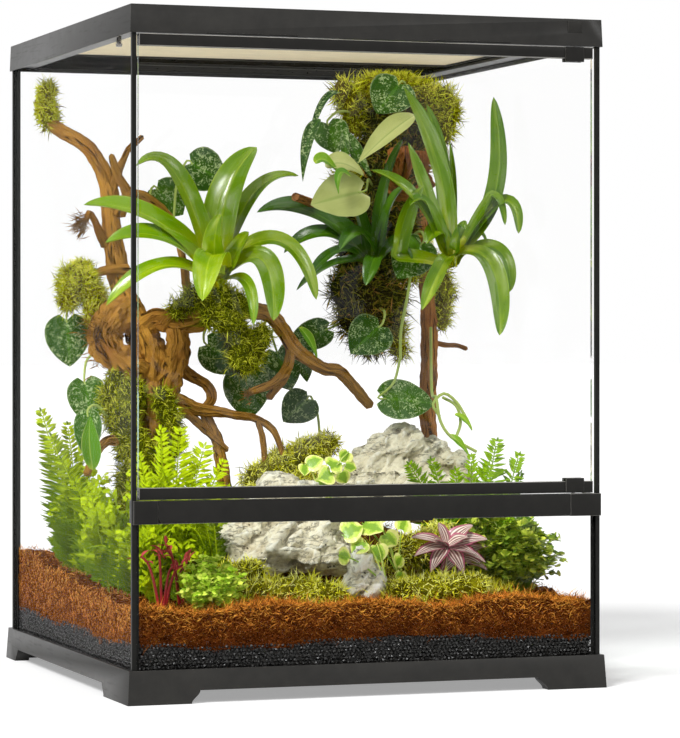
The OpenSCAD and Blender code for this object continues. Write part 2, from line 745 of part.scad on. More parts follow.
// Rocks are heaps of angular lumps, flat on the ground's side
module lump(p, s, fn = 7)
    hull() {
        translate(at(p))
            scale([s[0], s[1], s[2]])
                sphere(r = 1, $fn = fn);
        translate(at(p) + [s[0] * 0.3, s[1] * 0.2, -s[2] * 0.5])
            scale([s[0] * 0.8, s[1] * 0.9, s[2] * 0.6])
                sphere(r = 1, $fn = fn);
    }

module rock_large() color(stone)
    difference() {
        let (a = rock_l / 128, h = rock_h / 84)
            union() {
                lump([96, 8, 196], [34 * a, 30, 36 * h]);
                lump([118, 14, 200], [36 * a, 28, 38 * h]);
                lump([146, 16, 196], [32 * a, 26, 32 * h], 6);
                lump([74, -2, 182], [30 * a, 28, 26 * h], 8);
                lump([58, -16, 174], [26 * a, 24, 22 * h]);
                lump([172, 10, 184], [24 * a, 24, 24 * h]);
                lump([104, -18, 172], [42 * a, 30, 26 * h], 6);
                lump([138, -16, 168], [36 * a, 30, 24 * h]);
                lump([84, 20, 170], [50 * a, 34, 30 * h], 8);
            }
        substrate();
        wood_post();
    }

module rock_front() color(stone)
    difference() {
        union() {
            lump([-44, -92, 160], [34, 28, 36]);
            lump([-20, -96, 156], [36, 30, 34], 6);
            lump([-66, -100, 146], [30, 28, 30]);
            lump([-88, -108, 134], [26, 26, 22], 8);
            lump([-6, -112, 142], [34, 26, 30]);
            lump([-50, -120, 128], [40, 26, 26], 6);
            lump([-16, -128, 122], [34, 26, 22]);
            lump([-84, -122, 118], [28, 24, 18], 6);
        }
        substrate();
        rock_large();
    }

module rock_small() color([0.8, 0.78, 0.74])
    difference() {
        union() {
            for (q = [[8, -172, 110, 13, 22], [14, -170, 104, 15, 18], [2, -168, 102, 12, 17],
                [18, -164, 98, 14, 14], [10, -160, 96, 17, 15], [-2, -162, 94, 11, 12],
                [24, -160, 92, 12, 12], [10, -174, 92, 16, 12]])
                lump([q[0], q[1], q[2]], [q[3], q[3] * 0.8, q[4]]);
        }
        substrate();
        rock_front();
    }

// The epiphyte clump on the post: a dark core of roots and fibre, with moss on and round it
module clump_body()
    union() {
        clod([112, 70, 540], [150, 78, 535], 30, 28);
        clod([112, 66, 500], [142, 70, 500], 34, 30);
        clod([104, 62, 470], [132, 66, 462], 28, 26);
        clod([96, 56, 440], [126, 62, 430], 24, 26);
        clod([86, 50, 400], [120, 58, 396], 26, 26);
        clod([80, 48, 366], [112, 54, 362], 30, 28);
        clod([84, 48, 340], [104, 52, 340], 26, 24);
        clod([92, 46, 318], [98, 50, 316], 17, 16);
    }

module epiphyte_core() color([0.12, 0.1, 0.07])
    difference() {
        clump_body();
        wood_post();
    }

module moss_top() color(mossy)
    difference() {
        union() {
            clod([92, 74, 560], [116, 82, 568], 14, 16);
            clod([116, 82, 568], [146, 88, 568], 16, 16);
            clod([146, 88, 568], [172, 90, 560], 16, 17);
            clod([172, 90, 560], [184, 92, 548], 17, 12);
            clod([88, 66, 552], [84, 62, 530], 13, 10);
            clod([176, 88, 545], [174, 88, 520], 14, 10);
            clod([64, 50, 470], [68, 52, 452], 9, 11);
            clod([70, 50, 480], [80, 54, 470], 9, 10);
            clod([188, 96, 386], [192, 96, 366], 9, 11);
            clod([192, 96, 366], [190, 96, 334], 11, 7);
            clod([128, 66, 330], [134, 66, 306], 10, 8);
            clod([150, 80, 385], [168, 88, 400], 12, 12);
            clod([116, 56, 400], [128, 66, 330], 10, 11);
        }
        clump_body();
        wood_post();
    }

module moss_branch() color(mossy)
    difference() {
        union() {
            clod([-206, 148, 562], [-206, 147, 544], 8, 11);
            clod([-206, 147, 544], [-203, 146, 532], 11, 9);
            clod([-204, 148, 566], [-210, 146, 552], 5, 6);
            clod([-200, 148, 566], [-204, 146, 550], 4, 6);
            clod([-186, 80, 376], [-198, 78, 368], 14, 12);
            clod([-198, 78, 368], [-203, 76, 354], 12, 9);
            clod([-186, 80, 376], [-176, 78, 358], 14, 13);
            clod([-176, 78, 358], [-178, 72, 340], 12, 9);
            clod([-186, 84, 388], [-202, 80, 382], 8, 6);
            clod([-196, 80, 370], [-204, 84, 372], 9, 8);
        }
        root_wood();
    }

module moss_trunk() color([0.45, 0.5, 0.12])
    difference() {
        union() {
            clod([-150, 36, 268], [-162, 34, 246], 15, 17);
            clod([-162, 34, 246], [-150, 30, 214], 17, 18);
            clod([-150, 30, 214], [-128, 26, 200], 18, 16);
            clod([-128, 26, 200], [-112, 24, 222], 15, 12);
            clod([-122, 26, 262], [-114, 24, 240], 12, 11);
            clod([-164, 40, 280], [-172, 38, 262], 11, 10);
            clod([-150, 30, 190], [-156, 26, 158], 18, 17);
            clod([-92, 16, 360], [-72, 4, 356], 13, 17);
            clod([-72, 4, 356], [-52, 8, 350], 17, 13);
            clod([-80, 2, 340], [-62, 2, 336], 13, 13);
            clod([-56, 10, 330], [-44, 14, 300], 14, 17);
            clod([-44, 14, 300], [-28, 16, 322], 17, 12);
            clod([-98, 22, 352], [-108, 30, 346], 10, 9);
        }
        root_wood();
    }

module moss_ground() color([0.42, 0.46, 0.1])
    difference() {
        union() {
            clod([-30, 22, 182], [-6, 24, 196], 20, 20);
            clod([-6, 24, 196], [22, 28, 208], 20, 18);
            clod([22, 28, 208], [46, 32, 216], 18, 15);
            clod([-40, 10, 160], [20, 14, 176], 24, 26);
            clod([-112, -170, 92], [-80, -180, 92], 14, 16);
            clod([-80, -180, 92], [-44, -182, 92], 16, 15);
            clod([-44, -182, 92], [-20, -186, 88], 15, 12);
            clod([44, -186, 90], [82, -186, 92], 14, 16);
            clod([82, -186, 92], [118, -182, 92], 16, 15);
            clod([-90, -150, 106], [-112, -140, 104], 17, 14);
            clod([60, -120, 120], [110, -110, 130], 20, 22);
        }
        substrate();
        rock_large();
        rock_front();
        rock_small();
        root_wood();
    }

// Leaves

function bez(a, b, c, t) = (1 - t) * (1 - t) * a + 2 * t * (1 - t) * b + t * t * c;
function bez_dir(a, b, c, t) = unit((1 - t) * (b - a) + t * (c - b));
function strap(s) = (0.62 + 0.38 * min(1, s / 0.4))
    * (s < 0.7 ? 1 : sqrt(max(0.05, 1 - pow((s - 0.7) / 0.31, 2))));
function lens(s) = max(0.14, sin(180 * pow(s, 0.75)));

// One arching leaf as a chain of keeled wedges, from its base over a control point to its tip
module blade(p0, p1, p2, w, roll = 0, n = 3, long = false) {
    a = at(p0);
    b = at(p1);
    c = at(p2);
    flat = [c[0] - a[0], c[1] - a[1], 0];
    side0 = norm(flat) < 2 ? [0.94, -0.33, 0] : unit([-flat[1], flat[0], 0]);
    sec = [for (i = [0:n])
        let (s = i / n, o = bez(a, b, c, s), d = bez_dir(a, b, c, s), m = unit(cross(d, side0)),
            sd = side0 * cos(roll) - m * sin(roll), up = m * cos(roll) + side0 * sin(roll),
            f = long ? strap(s) : lens(s * 0.96 + 0.02))
            [for (q = [o + sd * w * f / 2, o - sd * w * f / 2, o - up * leaf_t * (long ? 1.6 : 1)])
                fine(q)]];
    for (i = [0:n - 1])
        let (lap = long && i == n - 2 ? 0.3 * unit(c - sec[i][2]) : [0, 0, 0])
            hull()
                polyhedron(points = concat(sec[i], [for (q = sec[i + 1]) q + lap]),
                    faces = [[0, 2, 1], [3, 4, 5], [0, 1, 4, 3], [1, 2, 5, 4], [2, 0, 3, 5]]);
}

// One flat heart-shaped leaf from its stalk to its tip, with its face turned to a direction
function heart_outline(w) = [[0.1, 0], [0, 0.2 * w], [0.06, 0.38 * w], [0.22, 0.5 * w],
    [0.42, 0.48 * w], [0.62, 0.36 * w], [0.82, 0.18 * w], [1, 0], [0.82, -0.18 * w],
    [0.62, -0.36 * w], [0.42, -0.48 * w], [0.22, -0.5 * w], [0.06, -0.38 * w], [0, -0.2 * w]];

module heart(p0, p1, w, face = [-0.33, -0.9, 0.25]) {
    a = at(p0);
    c = at(p1);
    k = heart_l / 50;
    x = unit(c - a);
    y = unit(cross(face, x));
    z = cross(x, y);
    l = norm(c - a) * k;
    multmatrix([[x[0], y[0], z[0], a[0]], [x[1], y[1], z[1], a[1]], [x[2], y[2], z[2], a[2]],
        [0, 0, 0, 1]])
        linear_extrude(height = leaf_t, center = true)
            polygon([for (q = heart_outline(1)) [q[0] * l, q[1] * w * k]]);
}

module stalk(pts, r = 1)
    limb([for (q = pts) [q[0], q[1], q[2], stem_r * r]], 1, 4);

// Bromeliad leaves: base, control point, tip, width as a part of the widest, roll
left_leaves = [
    [[-88, -10, 396], [-122, 0, 532], [-152, 0, 478], 0.8, -25],
    [[-76, -8, 396], [-74, 2, 470], [-32, 14, 503], 1.1, 20],
    [[-70, -8, 398], [-40, 12, 484], [16, 30, 477], 0.62, 32],
    [[-66, -14, 394], [-8, -20, 446], [12, -34, 356], 0.62, 20],
    [[-68, -24, 386], [-34, -52, 420], [-40, -62, 336], 0.75, 10],
    [[-72, -26, 376], [-58, -62, 384], [-63, -72, 332], 0.36, 0],
    [[-82, -26, 386], [-104, -66, 420], [-116, -84, 354], 0.85, 0],
    [[-92, -18, 376], [-142, -32, 410], [-190, -18, 350], 0.62, -30],
    [[-92, -14, 386], [-140, -22, 434], [-188, -8, 409], 0.78, -35],
    [[-92, -8, 392], [-142, -4, 452], [-205, 8, 445], 0.84, -36],
    [[-84, -22, 380], [-92, -34, 420], [-84, -40, 436], 0.7, 0],
    [[-74, -20, 380], [-62, -30, 410], [-56, -36, 420], 0.7, 0],
    [[-80, 0, 386], [-60, 30, 430], [-44, 56, 430], 0.6, 10]];

// The rosette's cup: a sheath from the heart of the plant to each leaf
module sheaths(p, r, list)
    for (q = list)
        hull() {
            translate(at(p))
                sphere(r = r, $fn = 6);
            translate(at(q[0]))
                sphere(r = r * 0.3, $fn = 4);
        }

module bromeliad_left() color(lime)
    difference() {
        union() {
            sheaths([-78, -8, 374], 12, left_leaves);
            for (q = left_leaves)
                blade(q[0], q[1], q[2], q[3] * strap_w, q[4], 6, true);
        }
        root_wood();
        moss_trunk();
    }

right_leaves = [
    [[150, -28, 412], [148, -16, 500], [106, -18, 560], 0.75, 25],
    [[152, -14, 412], [160, 10, 500], [140, 8, 548], 0.5, 10],
    [[160, -40, 408], [206, -52, 450], [182, -52, 552], 0.72, -35],
    [[160, -10, 420], [170, 8, 470], [166, 12, 512], 0.22, 0],
    [[162, -38, 410], [206, -58, 488], [208, -62, 420], 0.55, 30],
    [[182, -54, 456], [190, -60, 462], [194, -62, 428], 0.34, 10],
    [[156, -46, 402], [184, -78, 408], [174, -92, 324], 0.9, 15],
    [[164, -42, 404], [204, -58, 420], [198, -64, 364], 0.5, 25],
    [[142, -46, 398], [124, -76, 394], [98, -90, 346], 0.5, -10],
    [[142, -34, 410], [120, -40, 470], [100, -52, 446], 0.5, -15],
    [[150, -44, 402], [150, -58, 440], [152, -64, 424], 0.42, 0],
    [[156, -20, 408], [186, 0, 440], [204, 10, 414], 0.5, 10]];

module bromeliad_right() color([0.36, 0.6, 0.1])
    difference() {
        union() {
            sheaths([152, -32, 394], 10, right_leaves);
            stalk([[152, -30, 392], [146, 0, 392], [140, 36, 398]], 3);
            for (q = right_leaves)
                blade(q[0], q[1], q[2], q[3] * strap_w, q[4], 6, true);
        }
        clump_body();
        moss_top();
    }

middle_leaves = [
    [[74, 14, 408], [26, 36, 462], [-18, 58, 442], 0.85, -30],
    [[70, 10, 404], [36, 22, 440], [2, 34, 402], 0.6, -20],
    [[72, 6, 398], [44, 0, 420], [12, -8, 376], 0.36, -10],
    [[84, 2, 404], [60, -14, 440], [40, -22, 404], 0.5, 0],
    [[92, 4, 410], [90, -10, 450], [104, -24, 466], 0.5, 10],
    [[88, 8, 414], [92, 0, 480], [110, -6, 512], 0.42, 15],
    [[78, 12, 412], [64, 4, 462], [48, -4, 470], 0.6, -15],
    [[96, 6, 402], [112, -14, 428], [118, -26, 390], 0.6, 10],
    [[84, 0, 396], [74, -26, 404], [62, -34, 370], 0.5, 0],
    [[72, 12, 396], [40, 30, 396], [18, 44, 366], 0.34, -20]];

module bromeliad_middle() color([0.12, 0.34, 0.1])
    difference() {
        union() {
            sheaths([84, 12, 392], 10, middle_leaves);
            for (q = middle_leaves)
                blade(q[0], q[1], q[2], q[3] * strap_w, q[4], 6, true);
        }
        clump_body();
        bromeliad_left();
        bromeliad_right();
    }

// Heart-shaped leaves: stalk end, tip, width
hearts_left = [
    [[-196, 106, 342], [-194, 102, 292], 40, [[-184, 82, 368], [-192, 98, 360]]],
    [[-190, 62, 282], [-184, 56, 236], 34, [[-172, 56, 310], [-186, 64, 300]]],
    [[-196, 26, 252], [-198, 18, 206], 24, [[-170, 34, 240], [-186, 32, 256]]],
    [[-84, 74, 492], [-46, 66, 470], 40, [[-100, 66, 430], [-94, 74, 470]]],
    [[-112, 92, 468], [-84, 86, 440], 36, [[-111, 75, 446], [-117, 88, 460]]]];

module hearts(list)
    for (q = list) {
        heart(q[0], q[1], q[2] * 0.95);
        stalk([q[3][0], q[3][1], q[0], q[0] + 0.2 * (q[1] - q[0])]);
    }

module pothos_left() color(leaf)
    difference() {
        union() {
            hearts(hearts_left);
        }
        root_wood();
        moss_branch();
        moss_trunk();
        bromeliad_left();
    }

hearts_centre = [
    [[-24, 74, 292], [-22, 70, 240], 42, [[-16, 20, 342], [-30, 56, 310]]],
    [[-66, 76, 316], [-28, 70, 288], 38, [[-67, 26, 344], [-70, 58, 330]]],
    [[12, 90, 310], [26, 84, 268], 36, [[-4, 20, 328], [0, 66, 326]]],
    [[58, 56, 330], [14, 62, 312], 28, [[84, 48, 340], [72, 54, 336]]],
    [[48, 88, 262], [18, 84, 238], 34, [[46, 60, 134], [56, 86, 230]]],
    [[40, 92, 318], [44, 88, 276], 18, [[12, 20, 306], [34, 78, 322]]]];

module pothos_centre() color(leaf)
    difference() {
        union() {
            hearts(hearts_centre);
        }
        root_wood();
        clump_body();
        moss_trunk();
        moss_ground();
        rock_large();
        substrate();
    }

hearts_top = [
    [[124, 34, 572], [94, 24, 540], 42, [[124, 62, 548], [130, 40, 566]]],
    [[58, 50, 540], [68, 44, 508], 34, [[104, 68, 538], [70, 52, 548]]],
    [[140, 14, 416], [108, 4, 378], 40, [[122, 52, 400], [138, 26, 424]]],
    [[74, 20, 342], [108, 10, 304], 42, [[88, 46, 350], [78, 22, 354]]],
    [[88, 4, 262], [146, 0, 256], 36, [[112, 6, 300], [104, 4, 276]]],
    [[44, 46, 548], [40, 40, 490], 14, [[104, 66, 520], [56, 50, 552]]],
    [[120, 12, 526], [80, -2, 486], 26, [[126, 62, 500], [128, 24, 532]]],
    [[76, 8, 478], [24, -4, 452], 44, [[104, 58, 466], [84, 20, 484]]]];

module pothos_top() color(leaf)
    difference() {
        union() {
            hearts(hearts_top);
            stalk([[122, 52, 396], [126, 16, 406], [122, 8, 372], [112, 4, 328], [112, 6, 300]]);
        }
        clump_body();
        moss_top();
        bromeliad_right();
        bromeliad_middle();
        rock_large();
    }

// A tuft of arching leaves round a point, on a short crown that sits in the ground
module tuft(p, n, l, w, rise, start, sweep, seg = 3) {
    for (i = [0:n - 1])
        let (a = start + sweep * i / n, k = 1 - 0.22 * ((i * 5) % 3) / 2,
            h = rise * (0.75 + 0.25 * ((i * 7) % 4) / 3))
            blade(p + [3 * cos(a), 3 * sin(a), 0],
                p + [0.38 * l * k * cos(a), 0.38 * l * k * sin(a), h * 1.15],
                p + [0.74 * l * k * cos(a), 0.74 * l * k * sin(a), h * 0.8],
                w * k, 12 * sin(70 * i), seg);
    translate(at(p) - [0, 0, 10])
        cylinder(r1 = stem_r * 3.6, r2 = stem_r * 3, h = 13, $fn = 6);
}

module ground_cut() {
    substrate();
    rock_large();
    rock_front();
    rock_small();
    root_wood();
    moss_ground();
    moss_trunk();
}

module fern_left() color(fern)
    difference() {
        union() {
            tuft([-178, 118, 104], 8, frond_l * 0.44, frond_w * 0.8, 76, 200, 320);
            tuft([-172, -2, 90], 8, frond_l * 0.52, frond_w * 0.8, 104, 120, 320);
            tuft([-126, -46, 96], 9, frond_l * 0.8, frond_w, 122, 10, 340);
        }
        ground_cut();
        pothos_left();
    }

module fern_front() color([0.28, 0.58, 0.14])
    difference() {
        union() {
            tuft([-170, -106, 84], 8, frond_l * 0.5, frond_w * 0.8, 70, 0, 330);
            tuft([-108, -112, 92], 7, frond_l * 0.6, frond_w * 0.9, 84, 60, 210);
        }
        ground_cut();
        fern_left();
    }

module fern_right() color(fern)
    difference() {
        union() {
            tuft([166, -84, 96], 8, frond_l * 0.6, frond_w * 0.7, 100, 30, 320);
            tuft([186, 20, 112], 5, frond_l * 0.36, frond_w * 0.7, 84, 60, 300);
        }
        ground_cut();
        wood_post();
    }

module bush_right() color([0.2, 0.5, 0.1])
    difference() {
        union() {
            tuft([176, -150, 84], 8, leaflet_l * 2.1, leaflet_l * 0.9, 34, 0, 360, 2);
            tuft([146, -130, 90], 6, leaflet_l * 2.1, leaflet_l * 0.9, 36, 30, 340, 2);
            tuft([190, -104, 92], 4, leaflet_l * 1.4, leaflet_l * 0.9, 30, 90, 190, 2);
        }
        ground_cut();
        fern_right();
    }

module ivy_front() color([0.62, 0.76, 0.36])
    difference() {
        union() {
            tuft([30, -178, 96], 6, leaflet_l * 2.2, leaflet_l, 46, 200, 340, 2);
            tuft([48, -160, 104], 5, leaflet_l * 2, leaflet_l, 44, 10, 200, 2);
            tuft([-6, -100, 174], 6, leaflet_l * 1.7, leaflet_l, 26, 160, 300, 2);
        }
        ground_cut();
    }

module tradescantia() color([0.45, 0.18, 0.3])
    difference() {
        union() {
            tuft([88, -158, 96], 6, leaflet_l * 2.2, leaflet_l * 0.72, 40, 190, 340, 2);
            tuft([110, -150, 100], 5, leaflet_l * 2.2, leaflet_l * 0.72, 42, 300, 240, 2);
        }
        ground_cut();
        bush_right();
        ivy_front();
    }

module red_stems() color([0.7, 0.12, 0.16])
    difference() {
        union() {
            tuft([-180, -172, 80], 5, leaflet_l * 1.9, leaflet_l * 0.7, 56, 20, 330, 2);
            tuft([-158, -160, 82], 4, leaflet_l * 1.9, leaflet_l * 0.7, 60, 60, 300, 2);
        }
        ground_cut();
        fern_front();
    }

module ground_bush() color([0.36, 0.66, 0.1])
    difference() {
        union() {
            tuft([-152, -192, 78], 6, leaflet_l * 1.3, leaflet_l * 0.7, 28, 20, 360, 2);
            tuft([-128, -194, 78], 5, leaflet_l * 1.2, leaflet_l * 0.7, 26, 200, 340, 2);
            tuft([-140, -180, 80], 4, leaflet_l * 1.3, leaflet_l * 0.7, 32, 30, 150, 2);
        }
        ground_cut();
        red_stems();
        fern_front();
    }

base_frame();
bottom_pane();
back_pane();
left_pane();
right_pane();
front_pane();
corner_seams();
inner_seams();
top_frame();
rear_deck();
sill_rail();
sill_cap_left();
sill_cap_right();
flange_stud();
door_pane();
door_top_rail();
door_bottom_rail();
hinge_pad_upper();
hinge_pad_lower();
hinge_pin_upper();
hinge_pin_lower();
strike_plate();
latch_bar();
latch_pins();
latch_magnets();
lid_frame();
lid_net();
lid_tab();
lid_button();
inlet_shutter_left();
inlet_shutter_right();
drainage_layer();
substrate();
rock_large();
rock_front();
rock_small();
root_wood();
wood_post();
epiphyte_core();
moss_top();
moss_branch();
moss_trunk();
moss_ground();
bromeliad_left();
bromeliad_right();
bromeliad_middle();
pothos_left();
pothos_centre();
pothos_top();
fern_left();
fern_front();
fern_right();
bush_right();
ivy_front();
tradescantia();
red_stems();
ground_bush();
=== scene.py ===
import math

import bpy
import numpy as np
from bpy.props import FloatProperty, FloatVectorProperty, IntProperty, PointerProperty
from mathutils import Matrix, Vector


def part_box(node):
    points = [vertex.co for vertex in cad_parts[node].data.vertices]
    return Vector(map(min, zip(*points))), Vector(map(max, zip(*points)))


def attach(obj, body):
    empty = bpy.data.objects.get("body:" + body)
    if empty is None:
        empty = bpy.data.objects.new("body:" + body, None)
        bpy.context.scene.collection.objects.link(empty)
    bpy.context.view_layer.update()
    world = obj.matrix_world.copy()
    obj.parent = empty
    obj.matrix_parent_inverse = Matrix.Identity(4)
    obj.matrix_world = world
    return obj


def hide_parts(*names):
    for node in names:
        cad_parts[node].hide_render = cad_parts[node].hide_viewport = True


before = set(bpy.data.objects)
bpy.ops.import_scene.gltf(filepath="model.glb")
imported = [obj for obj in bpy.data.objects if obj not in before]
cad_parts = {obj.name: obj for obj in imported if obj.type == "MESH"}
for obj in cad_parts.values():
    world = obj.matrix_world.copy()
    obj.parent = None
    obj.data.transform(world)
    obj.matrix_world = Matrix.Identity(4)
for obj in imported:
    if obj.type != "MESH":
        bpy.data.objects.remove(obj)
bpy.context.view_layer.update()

bl_info = {
    "name": "Planted glass terrarium",
    "version": (1, 0, 0),
    "blender": (4, 5, 0),
    "location": "View3D > Sidebar > Terrarium",
    "description": "Dresses a front-opening glass terrarium and its planting",
    "category": "Object",
}

MM = 0.001
UP = np.array([0.0, 0.0, 1.0])
INNER = 217.7          # half width of the ground inside the glass, mm
FLOOR_TOP = 20.0       # top of the glass floor, mm
PLANT_GAP = 0.5        # gap between the glass and the ferns and ground plants, mm
PLANT_ROOM = (60.0, 580.0)               # their lowest and highest place, mm
MOSS_ROOM = (22.0, 588.0)                # the same for moss threads
FRONT = np.array([-0.33, -0.92, 0.35])   # the side that the planting turns its leaves to
THIRDS = np.array([0, 2.094, 4.189])     # the three corners round a thread, in radians
WELD = 0.000005        # corners of a CAD mesh closer than this are one, m
FLAT = 1.5             # CAD faces that meet at less than this are one, degrees
ROUNDED = 32           # edges of a moulding sharper than this are rounded, degrees
SMOOTH = 35            # edges of a moulding flatter than this are shaded smooth, degrees
BEDS_TURN, BEDS_STRETCH = (0.2, -0.55, 0.35), (2.6, 1.2, 0.8)   # lie of the beds in the rocks
WIDER = 1.12           # strap and heart leaves come out a little wider than in their tables
AMBIENT = 0.34         # strength of the white surroundings as a light
FOCAL, IMAGE_HEIGHT, HORIZON = 3223.9, 738, 33.5   # the camera solved on the photo, in pixels
CAMERA_PLACE, CAMERA_TURN = (-0.9793, -2.9313, 0.3222), -0.337   # in m and radians


# ---------------------------------------------------------------- numbers

def rows_unit(v):
    """Each row of v at length one."""
    return v / np.maximum(np.linalg.norm(v, axis=-1, keepdims=True), 1e-9)


def through(points, step):
    """A smooth run through points, whose first three values are a place in mm."""
    p = np.asarray(points, float)
    ends = np.vstack([2 * p[0] - p[1], p, 2 * p[-1] - p[-2]])
    run = []
    for i in range(len(p) - 1):
        a, b, c, d = ends[i:i + 4]
        n = max(2, int(np.linalg.norm((c - b)[:3]) / step))
        t = np.linspace(0, 1, n, endpoint=False)[:, None]
        run.append(0.5 * (2 * b + (c - a) * t + (2 * a - 5 * b + 4 * c - d) * t ** 2
                          + (3 * b - a - 3 * c + d) * t ** 3))
    return np.vstack(run + [p[-1:]])


def bezier(a, b, c, n):
    """n points on the arch from a to c that b pulls at."""
    t = np.linspace(0, 1, n)[:, None]
    a, b, c = (np.asarray(q, float) for q in (a, b, c))
    return (1 - t) ** 2 * a + 2 * t * (1 - t) * b + t ** 2 * c


def distance(line):
    """How far each point of a line lies along it."""
    return np.concatenate([[0], np.cumsum(np.linalg.norm(np.diff(line, axis=0), axis=1))])


def shares(line, t):
    """The places at shares t of a line's length."""
    far = distance(line)
    return np.stack([np.interp(t * far[-1], far, line[:, i]) for i in range(3)], -1)


def frames(path):
    """Direction, side and second side along a path, turning as little as possible."""
    way = rows_unit(np.gradient(path, axis=0))
    side = np.empty_like(way)
    s = np.cross(way[0], UP if abs(way[0][2]) < 0.9 else [0, 1, 0])
    for i, d in enumerate(way):
        s = s - d * np.dot(s, d)
        s = s / max(np.linalg.norm(s), 1e-9)
        side[i] = s
    return way, side, np.cross(way, side)


def soil_height(x, y):
    """Top of the fibre, in mm, as in the CAD ground."""
    return (80 + 28 * np.maximum(0, (y + INNER) / (2 * INNER)) ** 1.6
            + 72 * np.exp(-((x - 30) / 105) ** 2 - ((y - 5) / 92) ** 2)
            + 2.2 * np.sin(np.radians(3.1 * x + 40)) + 1.8 * np.sin(np.radians(2.6 * y + 1.7 * x)))


def layer_line(x, y):
    """Height of the wavy line between pellets and fibre, in mm."""
    return (49 + 3.4 * np.sin(0.021 * x + 0.9) + 2.4 * np.sin(0.034 * y + 2.1)
            + 1.2 * np.sin(0.09 * (x + y)))


def behind_pane(side, along, depth):
    """X and y behind the front, left, back or right pane, from a place along it and a depth."""
    return ((along, -depth), (-depth, along), (along, depth), (depth, along))[side]


def shade(colour, times=1.0):
    """A colour made lighter or darker, as a plain tuple."""
    return tuple(min(1, times * c) for c in colour)


# ---------------------------------------------------------------- meshes

class Heap:
    """Many small bodies gathered into one mesh, with a UV map and a tint for each."""

    def __init__(self):
        self.v, self.uv, self.tint, self.quads, self.tris, self.n = [], [], [], [], [], 0

    def put(self, v, uv, tint, quads, tris=None):
        """Adds corners in mm with their UV places and tint, and the faces between them."""
        v = np.asarray(v, float).reshape(-1, 3)
        self.v.append(v)
        self.uv.append(np.array(uv, float).reshape(-1, 2))
        self.tint.append(np.broadcast_to(tint, len(v)).astype(float).reshape(-1))
        self.quads.append(quads + self.n)
        if tris is not None:
            self.tris.append(tris + self.n)
        self.n += len(v)

    def closed(self, path, ring, tint, across):
        """Closed slim bodies: path (k, m, 3) from base to tip, ring (k, m - 2, c, 3)."""
        k, m = path.shape[:2]
        c = ring.shape[2]
        v = np.concatenate([path[:, :1], ring.reshape(k, -1, 3), path[:, -1:]], 1)
        size = v.shape[1]
        start = (np.arange(k) * size)[:, None, None]
        cell = (1 + np.arange((m - 2) * c)).reshape(m - 2, c)
        nxt = np.roll(cell, -1, 1)
        quads = np.stack([cell[:-1], nxt[:-1], nxt[1:], cell[1:]], -1).reshape(-1, 4)
        tris = np.concatenate([np.stack([np.zeros(c, int), nxt[0], cell[0]], -1),
                               np.stack([np.full(c, size - 1), cell[-1], nxt[-1]], -1)])
        s = np.linspace(0, 1, m)
        between = np.stack(np.broadcast_arrays(s[1:-1, None], np.asarray(across)), -1)
        uv = np.concatenate([[[0, 0.5]], between.reshape(-1, 2), [[1, 0.5]]])
        self.put(v, np.broadcast_to(uv, (k, size, 2)), np.repeat(np.broadcast_to(tint, k), size),
                 (quads[None] + start).reshape(-1, 4), (tris[None] + start).reshape(-1, 3))

    def slab(self, half, n, heights, tint):
        """A solid body between the top and bottom that heights gives over a square grid."""
        grid = np.linspace(-half, half, n)
        x, y = np.meshgrid(grid, grid, indexing="ij")
        v = [np.stack(np.broadcast_arrays(x, y, z), -1).reshape(-1, 3) for z in heights(x, y)]
        i = np.arange(n * n).reshape(n, n)
        up = np.stack([i[:-1, :-1], i[1:, :-1], i[1:, 1:], i[:-1, 1:]], -1).reshape(-1, 4)
        rim = np.concatenate([i[0, :], i[1:, -1], i[-1, -2::-1], i[-2:0:-1, 0]])
        nxt = np.roll(rim, -1)
        wall = np.stack([rim, nxt, nxt + n * n, rim + n * n], -1)
        self.put(np.concatenate(v), np.zeros((2 * n * n, 2)), tint,
                 np.concatenate([up, up[:, ::-1] + n * n, wall]))

    def keep_within(self, gap, low, high):
        """Moves corners that would cross the glass or leave their height back inside."""
        half = INNER - gap
        self.v = [np.clip(v, [-half, -half, low], [half, half, high]) for v in self.v]

    def piece(self, name, smooth=42):
        """The gathered bodies as one object, in metres, smooth up to an angle in degrees."""
        v = np.concatenate(self.v) * MM
        quads = np.concatenate(self.quads)
        tris = np.concatenate(self.tris) if self.tris else np.zeros((0, 3), int)
        corners = np.concatenate([quads.ravel(), tris.ravel()])
        starts = np.concatenate([np.arange(len(quads)) * 4,
                                 len(quads) * 4 + np.arange(len(tris)) * 3])
        mesh = bpy.data.meshes.new(name)
        mesh.vertices.add(len(v))
        mesh.vertices.foreach_set("co", v.astype(np.float32).ravel())
        mesh.loops.add(len(corners))
        mesh.loops.foreach_set("vertex_index", corners.astype(np.int32))
        mesh.polygons.add(len(starts))
        mesh.polygons.foreach_set("loop_start", starts.astype(np.int32))
        mesh.uv_layers.new(name="UVMap").data.foreach_set(
            "uv", np.concatenate(self.uv)[corners].astype(np.float32).ravel())
        mesh.attributes.new("tint", "FLOAT", "POINT").data.foreach_set(
            "value", np.concatenate(self.tint).astype(np.float32))
        mesh.update(calc_edges=True)
        mesh.validate()
        obj = bpy.data.objects.new(name, mesh)
        bpy.context.scene.collection.objects.link(obj)
        only(obj)
        bpy.ops.object.mode_set(mode="EDIT")
        bpy.ops.mesh.select_all(action="SELECT")
        bpy.ops.mesh.normals_make_consistent(inside=False)
        bpy.ops.object.mode_set(mode="OBJECT")
        bpy.ops.object.shade_smooth_by_angle(angle=math.radians(smooth))
        return obj


def only(obj):
    """Makes obj the one selected and active object."""
    bpy.ops.object.select_all(action="DESELECT")
    obj.hide_set(False)
    obj.select_set(True)
    bpy.context.view_layer.objects.active = obj


def apply_all(obj):
    """Applies every modifier of obj."""
    only(obj)
    for m in list(obj.modifiers):
        bpy.ops.object.modifier_apply(modifier=m.name)


